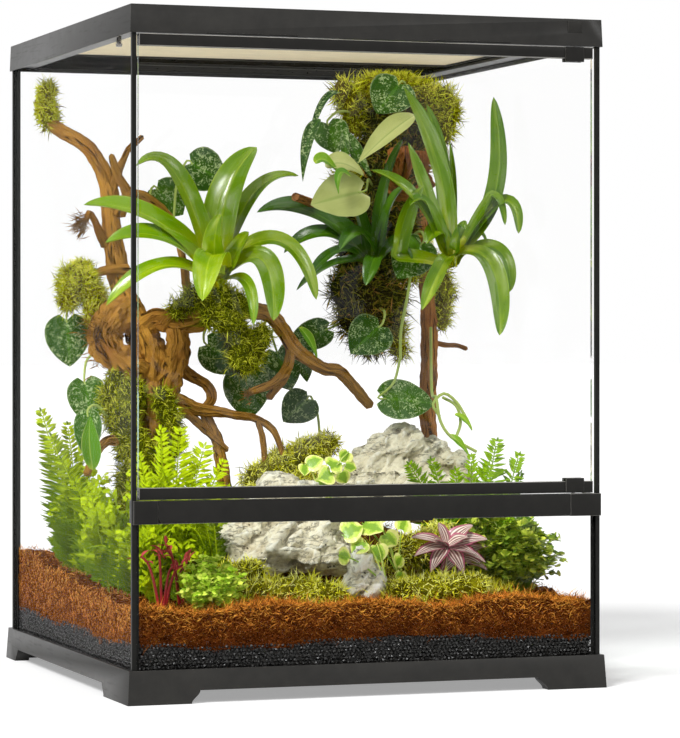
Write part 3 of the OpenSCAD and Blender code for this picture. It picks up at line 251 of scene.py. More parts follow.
def paint(mesh, *materials):
    """Gives a mesh these materials and no others."""
    mesh.materials.clear()
    for m in materials:
        mesh.materials.append(m)


def seat(obj, body, slot, *nodes):
    """Puts a finished piece on its body and hides the CAD nodes that it stands for. The slot is not
    used.
    """
    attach(obj, body)
    if nodes:
        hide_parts(*nodes)


def dress(obj, m, slot, *nodes, body="case"):
    """Gives a finished piece its one material and its seat."""
    paint(obj.data, m)
    seat(obj, body, slot, *nodes)


def node_copy(node, name):
    """A clean, merged copy of a CAD node's mesh."""
    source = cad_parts[node]
    obj = bpy.data.objects.new(name, source.data.copy())
    bpy.context.scene.collection.objects.link(obj)
    only(obj)
    bpy.ops.object.mode_set(mode="EDIT")
    bpy.ops.mesh.select_all(action="SELECT")
    bpy.ops.mesh.remove_doubles(threshold=WELD)
    bpy.ops.mesh.dissolve_limited(angle_limit=math.radians(FLAT))
    bpy.ops.object.mode_set(mode="OBJECT")
    return obj


def moulding(node, body, material, edge_highlight, slot, edge):
    """A CAD node with the small rounded edges of a moulded part, painted lighter as a highlight."""
    obj = node_copy(node, node + "_moulding")
    mesh = obj.data
    paint(mesh, material, edge_highlight)
    mesh.polygons.foreach_set("material_index", [0] * len(mesh.polygons))
    bpy.ops.object.modifier_add(type="BEVEL")
    m = obj.modifiers[-1]
    m.width, m.segments, m.limit_method, m.angle_limit = edge, 2, "ANGLE", math.radians(ROUNDED)
    # The bevel faces take the second plastic, which is lighter: a painted highlight on the edges.
    m.harden_normals, m.material = False, 1
    apply_all(obj)
    bpy.ops.object.shade_smooth_by_angle(angle=math.radians(SMOOTH))
    seat(obj, body, slot, node)


def lumped(node, name, voxel, *layers):
    """A CAD lump remeshed fine and roughened along slanting beds.

    Each layer is a texture kind, its size and its depth in mm.
    """
    bpy.ops.object.select_all(action="DESELECT")
    bpy.ops.object.empty_add(location=(0, 0, 0), rotation=BEDS_TURN)
    beds = bpy.context.object
    beds.scale = BEDS_STRETCH
    obj = node_copy(node, name)
    bpy.ops.object.modifier_add(type="REMESH")
    m = obj.modifiers[-1]
    m.mode, m.voxel_size = "VOXEL", voxel * MM
    for i, (kind, size, depth) in enumerate(layers):
        texture = bpy.data.textures.new(f"{name}_{i}", kind)
        texture.noise_scale = size * MM
        if kind == "CLOUDS":
            texture.noise_depth = 3
        if kind == "MUSGRAVE":
            texture.musgrave_type = "RIDGED_MULTIFRACTAL"
            texture.octaves, texture.lacunarity = 5, 2.2
        bpy.ops.object.modifier_add(type="DISPLACE")
        d = obj.modifiers[-1]
        d.texture, d.strength, d.mid_level = texture, depth * MM, 0.5
        d.texture_coords, d.texture_coords_object = "OBJECT", beds
    bpy.context.view_layer.update()
    apply_all(obj)
    bpy.data.objects.remove(beds)
    bpy.ops.object.shade_smooth()
    return obj


# ---------------------------------------------------------------- materials
# Scales of noise count per metre on object coordinates; bump distances are in mm.

class Tree:
    """Short words for a node tree."""

    def __init__(self, tree):
        self.tree = tree

    def add(self, kind, inputs=None, **settings):
        node = self.tree.nodes.new("ShaderNode" + kind)
        for key, value in settings.items():
            setattr(node, key, value)
        for key, value in (inputs or {}).items():
            self.set(node.inputs[key], value)
        return node

    def set(self, socket, value):
        if isinstance(value, bpy.types.NodeSocket):
            self.tree.links.new(value, socket)
        elif isinstance(value, tuple) and len(value) == 3 and len(socket.default_value) == 4:
            socket.default_value = (*value, 1)
        else:
            socket.default_value = value

    def noise(self, vector, scale, detail=3.0, rough=0.55, distortion=0.0):
        return self.add("TexNoise", {"Vector": vector, "Scale": scale, "Detail": detail,
                                     "Roughness": rough, "Distortion": distortion}).outputs["Fac"]

    def mix(self, fac, a, b, blend="MIX"):
        n = self.add("Mix", data_type="RGBA", blend_type=blend)
        self.set(n.inputs[0], fac)
        self.set(n.inputs[6], a)
        self.set(n.inputs[7], b)
        return n.outputs[2]

    def span(self, value, low, high, a=0.0, b=1.0, smooth=False):
        n = self.add("MapRange", interpolation_type="SMOOTHSTEP" if smooth else "LINEAR")
        for i, x in enumerate((value, low, high, a, b)):
            self.set(n.inputs[i], x)
        return n.outputs["Result"]

    def maths(self, operation, a, b=0.0):
        n = self.add("Math", operation=operation)
        self.set(n.inputs[0], a)
        self.set(n.inputs[1], b)
        return n.outputs[0]

    def times(self, a, b):
        return self.maths("MULTIPLY", a, b)

    def plus(self, a, b):
        return self.maths("ADD", a, b)

    def minus(self, a, b):
        return self.maths("SUBTRACT", a, b)

    def most(self, a, b):
        return self.maths("MAXIMUM", a, b)

    def off_middle(self, value):
        """How far a value lies from one half."""
        return self.maths("ABSOLUTE", self.minus(value, 0.5))

    def parts(self, vector):
        return self.add("SeparateXYZ", {"Vector": vector}).outputs

    def moved(self, vector, by):
        return self.add("VectorMath", {0: vector, 1: by}, operation="ADD").outputs[0]

    def mapped(self, vector, scale, turn=(0.0, 0.0, 0.0)):
        return self.add("Mapping", {"Vector": vector, "Scale": scale, "Rotation": turn}).outputs[0]

    def cells(self, vector, scale):
        n = self.add("TexVoronoi", {"Vector": vector, "Scale": scale}, feature="F1")
        return n.outputs["Distance"]

    def tint(self):
        """The tint of the leaf, thread or bead, from the mesh."""
        return self.add("Attribute", attribute_name="tint").outputs["Fac"]

    def sharpness(self):
        return self.add("NewGeometry").outputs["Pointiness"]

    def seen(self):
        """One for rays that look at things, none for rays that only carry light."""
        path = self.add("LightPath").outputs
        return self.most(path["Is Camera Ray"],
                         self.most(path["Is Glossy Ray"], path["Is Transmission Ray"]))

    def ramp(self, fac, *stops):
        n = self.add("ValToRGB")
        self.set(n.inputs[0], fac)
        e = n.color_ramp.elements
        while len(e) < len(stops):
            e.new(0.5)
        for element, (place, colour) in zip(e, stops):
            element.position, element.color = place, (*colour, 1)
        return n.outputs[0]

    def bump(self, height, strength, distance):
        return self.add("Bump", {"Height": height, "Strength": strength,
                                 "Distance": distance * MM}).outputs["Normal"]


def group(name, inputs, outputs, build):
    """A shader node group with named sockets, made once: None is a vector, a tuple a colour."""
    if name in bpy.data.node_groups:
        return bpy.data.node_groups[name]
    tree = bpy.data.node_groups.new(name, "ShaderNodeTree")
    for key, value in inputs.items():
        kind = "Vector" if value is None else "Color" if isinstance(value, tuple) else "Float"
        s = tree.interface.new_socket(key, in_out="INPUT", socket_type="NodeSocket" + kind)
        if value is not None:
            s.default_value = (*value, 1) if isinstance(value, tuple) else value
    for key in outputs:
        kind = "Color" if key == "Colour" else "Float"
        tree.interface.new_socket(key, in_out="OUTPUT", socket_type="NodeSocket" + kind)
    t = Tree(tree)
    first, last = tree.nodes.new("NodeGroupInput"), tree.nodes.new("NodeGroupOutput")
    for key, socket in build(t, first.outputs).items():
        tree.links.new(socket, last.inputs[key])
    return tree


def material(name, build, **plain):
    """A material whose shader takes plain values from the call and the rest from build."""
    m = bpy.data.materials.new(name)
    m.use_nodes = True
    t = Tree(m.node_tree)
    shader = m.node_tree.nodes["Principled BSDF"]
    for key, value in plain.items():
        t.set(shader.inputs[key.replace("_", " ")], value)
    place = t.add("TexCoord").outputs
    for key, socket in build(t, place).items():
        t.set(shader.inputs[key], socket)
    return m


def use(t, tree, inputs):
    """Places a node group and returns its outputs."""
    n = t.add("Group")
    n.node_tree = tree
    for key, value in inputs.items():
        t.set(n.inputs[key], value)
    return n.outputs


def mottled(t, place, dark, light, wide, fine):
    """Two sizes of cloudy patches between two colours, with a height for bump."""
    def build(t, i):
        clouds = t.noise(i["Place"], i["Wide"], 2.0)
        specks = t.noise(i["Place"], i["Fine"], 4.0, 0.65)
        mask = t.span(t.plus(t.times(clouds, 0.55), t.times(specks, 0.45)), 0.36, 0.64)
        return {"Colour": t.mix(mask, i["Dark"], i["Light"]), "Mask": mask, "Height": specks}
    tree = group("Mottle", {"Place": None, "Dark": (0.1, 0.1, 0.1), "Light": (0.2, 0.2, 0.2),
                            "Wide": 20.0, "Fine": 200.0}, ("Colour", "Mask", "Height"), build)
    return use(t, tree, {"Place": place["Object"], "Dark": dark, "Light": light,
                         "Wide": wide, "Fine": fine})


def leaf_group():
    """A leaf's colours: base to tip, midrib, lengthwise streaks, a tint for each leaf and painted
    shade on one half.

    UV runs from stem to tip in x and from edge to edge in y, with the midrib at one half.
    """
    def build(t, i):
        uv, tint = t.parts(i["UV"]), t.tint()
        off = t.off_middle(uv["Y"])
        streak = t.noise(t.mapped(i["UV"], (1.6, 38.0, 1.0)), 1.0, 3.0, 0.6)
        own = t.add("CombineXYZ", {"X": t.times(tint, 37.0), "Y": t.times(tint, 11.0)}).outputs[0]
        cloud = t.noise(t.mapped(t.moved(i["UV"], own), (3.4, 1.7, 1.0)), 1.0, 2.0, 0.5, 0.4)
        patch = t.span(cloud, 0.36, 0.64)
        body = t.mix(t.maths("POWER", tint, 1.5), i["Dark"], i["Light"])
        body = t.mix(t.span(streak, 0.35, 0.7, 0.0, 0.35), body, i["Light"])
        body = t.mix(t.times(t.span(off, 0.12, 0.46), 0.3), body, i["Dark"])
        body = t.mix(t.times(patch, i["Patch"]), body, i["Dark"])
        body = t.mix(t.span(uv["X"], 0.0, i["Reach"], 1.0, 0.0, smooth=True), body, i["Base"])
        rib = t.span(off, 0.015, 0.05, i["Rib"], 0.0)
        edge = t.span(off, 0.45, 0.495, 0.0, i["Rim"])
        colour = t.mix(t.most(rib, edge), body, i["Vein"])
        # Painted shade: one half of the leaf, on one side of the midrib, is darker.
        half = t.span(uv["Y"], 0.47, 0.53, 1.0, 0.0)
        return {"Colour": t.mix(t.times(half, i["Fold"]), colour, i["Dark"]),
                "Streak": streak, "Patch": patch}
    return group("Leaf", {"UV": None, "Patch": 0.0, "Dark": (0.05, 0.2, 0.02),
                          "Light": (0.2, 0.5, 0.05), "Base": (0.5, 0.5, 0.05),
                          "Vein": (0.4, 0.6, 0.2), "Reach": 0.3, "Rib": 0.5, "Rim": 0.3,
                          "Fold": 0.15}, ("Colour", "Streak", "Patch"), build)


def plastic(name, colour, bright, rough, shine):
    """Fine-grained moulded plastic, a little lighter and duller in cloudy patches."""
    def build(t, place):
        c = mottled(t, place, colour, bright, 14.0, 90.0)
        scuff = t.noise(t.mapped(place["Object"], (30.0, 30.0, 400.0)), 1.0, 4.0)
        cloudy = t.span(c["Mask"], 0.0, 1.0, rough - 0.03, rough + 0.04)
        return {"Base Color": c["Colour"],
                "Roughness": t.plus(cloudy, t.span(scuff, 0.55, 0.75, 0.0, 0.1)),
                "Normal": t.bump(t.noise(place["Object"], 1900.0, 2.0, 0.5), 0.08, 0.08)}
    return material(name, build, Specular_IOR_Level=shine)


def glass(name, axis, tint, edge):
    """Clear float glass, whose narrow sides show the green of its depth."""
    m = bpy.data.materials.new(name)
    m.use_nodes = True
    t = Tree(m.node_tree)
    nodes = m.node_tree.nodes
    shader = nodes["Principled BSDF"]
    flat = t.parts(t.add("TexCoord").outputs["Normal"])[axis]
    side = t.span(t.maths("ABSOLUTE", flat), 0.4, 0.6, 1.0, 0.0)
    t.set(shader.inputs["Base Color"], t.mix(side, tint, edge))
    t.set(shader.inputs["Alpha"], t.span(side, 0.0, 1.0, 0.016, 0.8))
    for key, value in (("Roughness", 0.0), ("IOR", 1.45), ("Transmission Weight", 1.0),
                       ("Metallic", 0.0)):
        shader.inputs[key].default_value = value
    path = t.add("LightPath").outputs
    passes = t.most(path["Is Shadow Ray"], path["Is Diffuse Ray"])
    clear = t.add("BsdfTransparent", {"Color": (0.99, 1.0, 0.995)})
    mix = t.add("MixShader", {0: passes})
    links = m.node_tree.links
    links.new(shader.outputs[0], mix.inputs[1])
    links.new(clear.outputs[0], mix.inputs[2])
    links.new(mix.outputs[0], nodes["Material Output"].inputs["Surface"])
    return m


def plain_metal(name, colour, rough, metallic=1.0):
    """Metal, or painted wire, with a faint grain."""
    def build(t, place):
        c = mottled(t, place, shade(colour, 0.9), colour, 60.0, 900.0)
        return {"Base Color": c["Colour"], "Normal": t.bump(c["Height"], 0.06, 0.05),
                "Roughness": t.span(c["Mask"], 0, 1, rough, rough + 0.08)}
    return material(name, build, Metallic=metallic)


def rubber(name, colour):
    """Silicone with a slightly uneven skin."""
    def build(t, place):
        c = mottled(t, place, colour, shade(colour, 1.6), 30.0, 240.0)
        return {"Base Color": c["Colour"], "Normal": t.bump(c["Height"], 0.1, 0.3)}
    return material(name, build, Roughness=0.32, Specular_IOR_Level=0.06)


def grains(name, dark, light, rough, spec):
    """Beads coloured by each one's own tint."""
    def build(t, place):
        n = t.noise(place["Object"], 420.0, 3.0)
        return {"Base Color": t.mix(t.plus(t.times(t.tint(), 0.8), t.times(n, 0.25)), dark, light),
                "Normal": t.bump(n, 0.3, 0.3)}
    return material(name, build, Roughness=rough, Specular_IOR_Level=spec)


def threads_material(name, stops, rough=0.75):
    """Threads coloured by their own tint along a ramp of stops, with painted shade darker at their
    feet.
    """
    def build(t, place):
        n = t.noise(place["Object"], 90.0, 2.0)
        colour = t.ramp(t.plus(t.tint(), t.span(n, 0.3, 0.7, -0.14, 0.14)), *stops)
        # Painted shade at the feet of the threads.
        foot = t.span(t.parts(place["UV"])["X"], 0.0, 0.5, 0.75, 0.0)
        return {"Base Color": t.mix(foot, colour, stops[0][1]), "Normal": t.bump(n, 0.2, 0.3)}
    return material(name, build, Roughness=rough, Specular_IOR_Level=0.0)


def earth(name, dark, light):
    """Damp fibre with lighter hairs and painted shade in the gaps between them."""
    def build(t, place):
        c = mottled(t, place, dark, light, 70.0, 520.0)
        laid = t.mapped(place["Object"], (260.0, 260.0, 900.0), (0.3, 0.5, 0.2))
        hair = t.span(t.off_middle(t.noise(laid, 1.0, 4.0, 0.6, 1.5)), 0.0, 0.06, 1.0, 0.0)
        colour = t.mix(t.times(hair, 0.8), c["Colour"], shade(light, 2.6))
        # Painted shade in the gaps between the fibres.
        gap = t.span(t.noise(place["Object"], 620.0, 3.0, 0.7), 0.42, 0.5, 0.9, 0.0)
        return {"Base Color": t.mix(gap, colour, shade(dark, 0.2)),
                "Normal": t.bump(t.plus(c["Height"], hair), 0.8, 1.5)}
    return material(name, build, Roughness=0.9, Specular_IOR_Level=0.0)


def stone(name, dark, light, pit_and_hollow_shade):
    """Rock with pits, thin veins and rusty patches, with painted shade in its hollows and a painted
    highlight on its ridges.
    """
    def build(t, place):
        at = place["Object"]
        c = mottled(t, place, dark, light, 38.0, 330.0)
        pitted = t.span(t.noise(at, 55.0, 4.0, 0.7, 0.6), 0.52, 0.62)
        pits = t.times(t.span(t.cells(at, 240.0), 0.14, 0.34, 1.0, 0.0), pitted)
        beds = t.mapped(at, (14.0, 50.0, 60.0), (0.2, -0.6, 0.3))
        veins = t.span(t.off_middle(t.noise(beds, 1.0, 5.0, 0.65, 0.6)), 0.0, 0.016, 0.6, 0.0)
        marks, sharp = t.most(pits, veins), t.sharpness()
        rust = t.span(t.noise(at, 16.0, 3.0, 0.6), 0.58, 0.7, 0.0, 0.5)
        colour = t.mix(rust, c["Colour"], (0.42, 0.27, 0.11))
        # Pits and veins are darker, and the hollows of low pointiness take the same dark colour as
        # painted shade.
        colour = t.mix(t.most(marks, t.span(sharp, 0.38, 0.48, 0.7, 0.0)), colour, pit_and_hollow_shade)
        # Painted highlight: the sharp ridges are lighter.
        colour = t.mix(t.span(sharp, 0.51, 0.6, 0.0, 0.7), colour, shade(light, 1.2))
        height = t.minus(c["Height"], t.times(marks, 0.9))
        return {"Base Color": colour, "Normal": t.bump(height, 0.9, 1.8)}
    return material(name, build, Roughness=0.88, Specular_IOR_Level=0.0)


def bark(name, crack_and_hollow_shade, mid, light, red):
    """Wood grain along a limb's own length, from its UV map."""
    def build(t, place):
        grain = t.noise(t.mapped(place["UV"], (5.0, 26.0, 1.0)), 1.0, 6.0, 0.7, 0.8)
        split = t.noise(t.mapped(place["UV"], (3.2, 11.0, 1.0)), 1.0, 6.0, 0.7, 1.2)
        reddish = t.span(t.noise(place["Object"], 22.0, 3.0), 0.52, 0.68)
        colour = t.mix(t.span(grain, 0.3, 0.62), mid, light)
        colour = t.mix(t.times(reddish, 0.5), colour, red)
        colour = t.mix(t.times(t.tint(), 0.35), colour, light)
        cracks = t.span(split, 0.37, 0.46, 0.95, 0.0)
        # Painted shade: the hollows of low pointiness take the colour of the cracks.
        hollows = t.span(t.sharpness(), 0.38, 0.485, 0.9, 0.0)
        return {"Base Color": t.mix(t.most(cracks, hollows), colour, crack_and_hollow_shade),
                "Normal": t.bump(t.minus(grain, t.times(cracks, 0.8)), 1.0, 2.0)}
    return material(name, build, Roughness=0.6, Specular_IOR_Level=0.01)


def leaf_material(name, dark, light, base, vein, rough, coat, shine, **values):
    """A leaf with a wet look in streaks where coat is set; values go to the leaf group."""
    def build(t, place):
        out = use(t, leaf_group(), {"UV": place["UV"], "Dark": dark, "Light": light,
                                    "Base": base, "Vein": vein, **values})
        streak = out["Streak"]
        rib = t.span(t.parts(place["UV"])["Y"], 0.5, 0.54, 0.0, 0.4)
        wet = t.times(t.span(streak, 0.45, 0.53), t.span(out["Patch"], 0.2, 0.6, 1.0, 0.0))
        return {"Base Color": out["Colour"], "Coat Weight": t.times(wet, coat),
                "Roughness": t.span(streak, 0.3, 0.7, max(0.05, rough - 0.08), rough + 0.12),
                "Normal": t.bump(t.plus(streak, rib), 0.22, 0.4)}
    return material(name, build, Coat_Roughness=0.2, Coat_IOR=2.0 if coat > 0.5 else 1.5,
                    Specular_IOR_Level=shine)


def silver_leaf_material(name, dark, light, silver):
    """Dark leaves with silver flecks between the midrib and a pale rim."""
    def build(t, place):
        at = place["Object"]
        out = use(t, leaf_group(), {"UV": place["UV"], "Dark": dark, "Light": light, "Base": light,
                                    "Vein": shade(light, 1.5), "Reach": 0.1, "Rib": 0.5,
                                    "Rim": 0.0, "Fold": 0.2})
        wobble = t.add("TexNoise", {"Vector": at, "Scale": 160.0, "Detail": 2.0}).outputs["Color"]
        small = t.add("VectorMath", {0: wobble, 1: (0.004, 0.004, 0.004)}, operation="MULTIPLY")
        shifted = t.moved(at, small.outputs[0])
        patch = t.span(t.noise(at, 95.0, 3.0, 0.6, 0.8), 0.42, 0.52)
        blots = t.span(t.noise(shifted, 300.0, 2.0, 0.5, 1.6), 0.53, 0.6)
        fleck = t.most(t.span(t.cells(shifted, 330.0), 0.16, 0.28, 1.0, 0.0), blots)
        rim = t.span(t.off_middle(t.parts(place["UV"])["Y"]), 0.46, 0.495)
        colour = t.mix(t.times(t.times(fleck, patch), 0.85), out["Colour"], silver)
        return {"Base Color": t.mix(t.times(rim, 0.6), colour, shade(silver, 0.8)),
                "Normal": t.bump(t.plus(fleck, out["Streak"]), 0.16, 0.4)}
    return material(name, build, Roughness=0.34, Specular_IOR_Level=0.1)


def striped_leaf_material(name, green, stripe, edge):
    """Lengthwise stripes with wavy sides and a coloured rim."""
    def build(t, place):
        across = t.parts(place["UV"])["Y"]
        wave = t.maths("SINE", t.times(across, 34.0))
        n = t.noise(t.mapped(place["UV"], (2.0, 14.0, 1.0)), 1.0, 2.0)
        band = t.span(t.plus(wave, t.span(n, 0.3, 0.7, -0.6, 0.6)), -0.1, 0.35)
        rim = t.span(t.off_middle(across), 0.36, 0.46)
        return {"Base Color": t.mix(rim, t.mix(band, green, stripe), edge),
                "Normal": t.bump(wave, 0.1, 0.3)}
    return material(name, build, Roughness=0.35, Coat_Weight=0.2)


def variegated_material(name, green, pale, cream):
    """Green leaves with an uneven cream edge."""
    def build(t, place):
        uv = t.parts(place["UV"])
        n = t.noise(place["Object"], 120.0, 3.0)
        reach = t.plus(t.off_middle(uv["Y"]), t.span(n, 0.3, 0.7, -0.14, 0.14))
        end = t.plus(reach, t.span(uv["X"], 0.7, 1.0, 0.0, 0.22))
        colour = t.mix(t.span(end, 0.16, 0.24), green, pale)
        return {"Base Color": t.mix(t.span(end, 0.33, 0.4), colour, cream),
                "Normal": t.bump(n, 0.2, 0.4)}
    return material(name, build, Roughness=0.45, Coat_Weight=0.1)


# ---------------------------------------------------------------- plant shapes

def strap_outline(s):
    """Share of a strap leaf's width at shares s of its length."""
    tip = (1 - np.clip((s - 0.52) / 0.48, 0, 1) ** 2.6) ** 0.72
    return (0.6 + 0.4 * np.minimum(1, s / 0.4)) * tip


def lens_outline(s):
    """The same for a leaf pointed at both ends."""
    return np.sin(np.pi * np.clip(s * 0.96 + 0.02, 0, 1) ** 0.75)


def round_leaf_edge(cols):
    """Places across a leaf from edge to edge and back beneath, and which of them lie beneath."""
    q = np.linspace(1, -1, cols)
    return (np.concatenate([q, q[1:-1][::-1]]),
            np.concatenate([np.zeros(cols), np.ones(cols - 2)]))


def blade(heap, line, width, roll, tint, outline=lens_outline, fold=0.16, thick=0.6, cols=9,
          ripple=0.0, turn=0.0):
    """One closed leaf along a line, hollow along its midrib and turned partly to the front."""
    s = np.linspace(0, 1, len(line))
    flat = line[-1] - line[0]
    side0 = np.array([0.94, -0.33, 0.0])
    if np.hypot(flat[0], flat[1]) > 2:
        side0 = np.array([-flat[1], flat[0], 0]) / np.hypot(flat[0], flat[1])
    way = rows_unit(np.gradient(line, axis=0))
    lift = rows_unit(np.cross(way, side0))
    c, k = math.cos(math.radians(roll)), math.sin(math.radians(roll))
    up = lift * c + side0 * k
    facing = FRONT - way * (way @ FRONT)[:, None]
    up = rows_unit(up * (1 - turn) + facing * turn)
    side = np.cross(up, way)
    half = (width * outline(s) / 2)[1:-1, None, None]
    q, under = round_leaf_edge(cols)
    rise = fold * 2 * (0.75 * np.abs(q) ** 1.9 + 0.25 * np.minimum(np.abs(q) * 3, 1))
    wave = ripple * np.sin(13 * s[1:-1, None] + 2 * q[None]) * np.abs(q) ** 2
    off = (half[..., 0] * rise[None] + wave - (under * thick)[None])[..., None]
    ring = line[1:-1, None] + side[1:-1, None] * (half * q[None, :, None]) + up[1:-1, None] * off
    heap.closed(line[None], ring[None], tint, (q + 1) / 2)


def tube(heap, points, sides, tint, step=4.0, rough=0.0, ridges=3, seed=0, blunt=False):
    """A limb through points of place and radius, with bark ridges where rough is set."""
    run = through(points, step)
    path, r = run[:, :3], run[:, 3]
    way, side, other = frames(path)
    far = distance(path)
    cap = 0.15 if blunt else 0.7
    head, tail = path[:1] - way[:1] * r[0] * cap, path[-1:] + way[-1:] * r[-1] * cap
    a = np.linspace(0, 2 * np.pi, sides, endpoint=False)
    g = r[:, None] * np.ones(sides)
    if rough:
        f = far[:, None]
        twist = a[None] + f * 0.012
        g = g * (1 + rough * (0.5 * np.sin(ridges * twist + seed + 1.1 * np.sin(f * 0.045 + seed))
                              + 0.32 * np.sin((2 * ridges + 1) * twist - 2 * seed + f * 0.05)
                              + 0.3 * np.sin(f * 0.21 + 3 * np.sin(a[None] + seed))
                              + 0.22 * np.sin(11 * twist + f * 0.13 + seed)
                              + 0.2 * np.sin(f * 0.62 + 5 * np.cos(a[None] * 2 + seed))))
    ring = (path[:, None] + side[:, None] * (g * np.cos(a))[..., None]
            + other[:, None] * (g * np.sin(a))[..., None])
    line = np.concatenate([head, path, tail])
    heap.closed(line[None], ring[None], tint, a / (2 * np.pi))
    heap.uv[-1][:, 0] = np.concatenate([[0], np.repeat(far, sides), far[-1:]]) / 100.0


HEART_ALONG = [0, 0.03, 0.08, 0.16, 0.26, 0.38, 0.52, 0.66, 0.8, 0.91, 0.97, 1]
HEART_WIDTH = [0, 0.42, 0.68, 0.88, 0.98, 1.0, 0.93, 0.77, 0.53, 0.27, 0.1, 0]


def heart_leaf(heap, a, c, width, tint, face=(-0.33, -0.9, 0.25), cup=0.12, droop=0.05, rows=21,
               cols=11):
    """A heart-shaped leaf from its stem a to its tip c, its face turned to a direction."""
    x = rows_unit(c - a)
    y = rows_unit(np.cross(face, x))
    z = np.cross(x, y)
    length = np.linalg.norm(c - a)
    u = np.linspace(0.0, 1.0, rows) ** 1.25
    q, under = round_leaf_edge(cols)
    hw = width / 2 * np.interp(u, HEART_ALONG, HEART_WIDTH)
    mid = 0.1 + 0.9 * u
    along = mid[:, None] - 0.15 * np.abs(q[None]) ** 1.5 * (1 - u[:, None]) ** 1.8
    bend = (-droop * length * (u[:, None] - 0.3) ** 2
            + cup * width * (q[None] ** 2) * 0.5 * hw[:, None] / width * 2
            - 0.012 * width * np.sin(u[:, None] * 22) * np.abs(q[None]))
    place = (a + x * (length * along)[..., None] + y * (hw[:, None] * q[None])[..., None]
             + z * (bend - under[None] * 0.6)[..., None])
    line = a + x * (length * mid)[:, None] + z * (-droop * length * (u - 0.3) ** 2)[:, None]
    heap.closed(line[None], place[1:-1][None], tint, (q + 1) / 2)


def leaflets(heap, base, way, lift, length, width, tint, shape, fold=0.15):
    """Many small leaves at once, from the base, direction and upper side of each.

    Shape gives the width of each of its rings as a share.
    """
    base, way, lift = (np.asarray(q, float).reshape(-1, 3) for q in (base, way, lift))
    k = len(base)
    way = rows_unit(way)
    side = rows_unit(np.cross(lift, way))
    up = np.cross(way, side)
    length = np.broadcast_to(length, k).astype(float)[:, None, None]
    width = np.broadcast_to(width, k).astype(float)[:, None, None]
    m = len(shape) + 2
    t = np.linspace(0, 1, m)[None, :, None]
    arch = -0.16 * length * t ** 2
    path = base[:, None] + way[:, None] * length * t + up[:, None] * arch
    w = np.asarray(shape)[None, :, None, None] * width[..., None] / 2
    q = np.array([1.0, 0.0, -1.0, 0.0])[None, None, :, None]
    h = np.array([fold, 0.0, fold, -0.16])[None, None, :, None]
    ring = path[:, 1:-1, None] + side[:, None, None] * (w * q) + up[:, None, None] * (w * h)
    heap.closed(path, ring, tint, np.array([1.0, 0.5, 0.0, 0.5]))


def strands(heap, base, way, length, width, tint, bend, rng):
    """Many thin threads at once, each bent towards its own random side."""
    base, way = np.asarray(base, float), rows_unit(np.asarray(way, float))
    k = len(base)
    length = np.broadcast_to(length, k).astype(float)[:, None, None]
    width = np.broadcast_to(width, k).astype(float)[:, None, None, None]
    side = rows_unit(np.cross(way, rng.normal(size=(k, 3))))
    other = np.cross(way, side)
    t = np.linspace(0, 1, 3)[None, :, None]
    path = base[:, None] + way[:, None] * length * t + side[:, None] * length * bend * t ** 2
    a = THIRDS[None, None, :, None]
    taper = (1 - 0.75 * t[:, 1:-1, :, None] ** 2) * width / 2
    around = side[:, None, None] * np.cos(a) + other[:, None, None] * np.sin(a)
    ring = path[:, 1:-1, None] + around * taper
    heap.closed(path, ring, tint, np.array([0.2, 0.5, 0.8]))


def clod_points(clods, count, rng, squash):
    """Random places and outward directions on capsules from a to b with radii ra and rb."""
    area = np.array([(np.linalg.norm(np.subtract(b, a)) + ra + rb) * (ra + rb)
                     for a, b, ra, rb in clods])
    pick = rng.choice(len(clods), count, p=area / area.sum())
    a = np.array([c[0] for c in clods], float)[pick]
    b = np.array([c[1] for c in clods], float)[pick]
    ra, rb = (np.array([c[i] for c in clods], float)[pick] for i in (2, 3))
    out = rows_unit(rng.normal(size=(count, 3)))
    long = np.maximum(np.linalg.norm(b - a, axis=1), 0.1)
    t = np.clip((rng.random(count) * (long + ra + rb) - ra) / long, 0, 1)
    r = ra + (rb - ra) * t
    return a + (b - a) * t[:, None] + out * r[:, None] * squash, out, pick


def in_clods(p, clods, keep, slack):
    """Which points lie deeper than slack inside any other clod than their own."""
    hit = np.zeros(len(p), bool)
    for i, (a, b, ra, rb) in enumerate(clods):
        a, b = np.asarray(a, float), np.asarray(b, float)
        d = b - a
        t = np.clip(((p - a) @ d) / max(d @ d, 1e-6), 0, 1)
        r = ra + (rb - ra) * t
        hit |= (np.linalg.norm(p - a - t[:, None] * d, axis=1) < r - slack) & (keep != i)
    return hit


def core_of(heap, clods, shrink):
    """A plain inner body under the threads of each clod, dark as painted shade."""
    for a, b, ra, rb in clods:
        a, b = np.asarray(a, float), np.asarray(b, float)
        d = rows_unit(b - a) if np.linalg.norm(b - a) > 0.1 else UP
        pts = [[*(a - d * ra * shrink * 0.8), ra * shrink * 0.55]]
        pts += [[*(a + (b - a) * k), (ra + (rb - ra) * k) * shrink] for k in np.linspace(0, 1, 4)]
        pts += [[*(b + d * rb * shrink * 0.8), rb * shrink * 0.55]]
        # The low tint makes the core dark: painted shade inside the cushion.
        tube(heap, pts, 10, 0.2, step=5.0, rough=0.1, ridges=2, seed=ra)


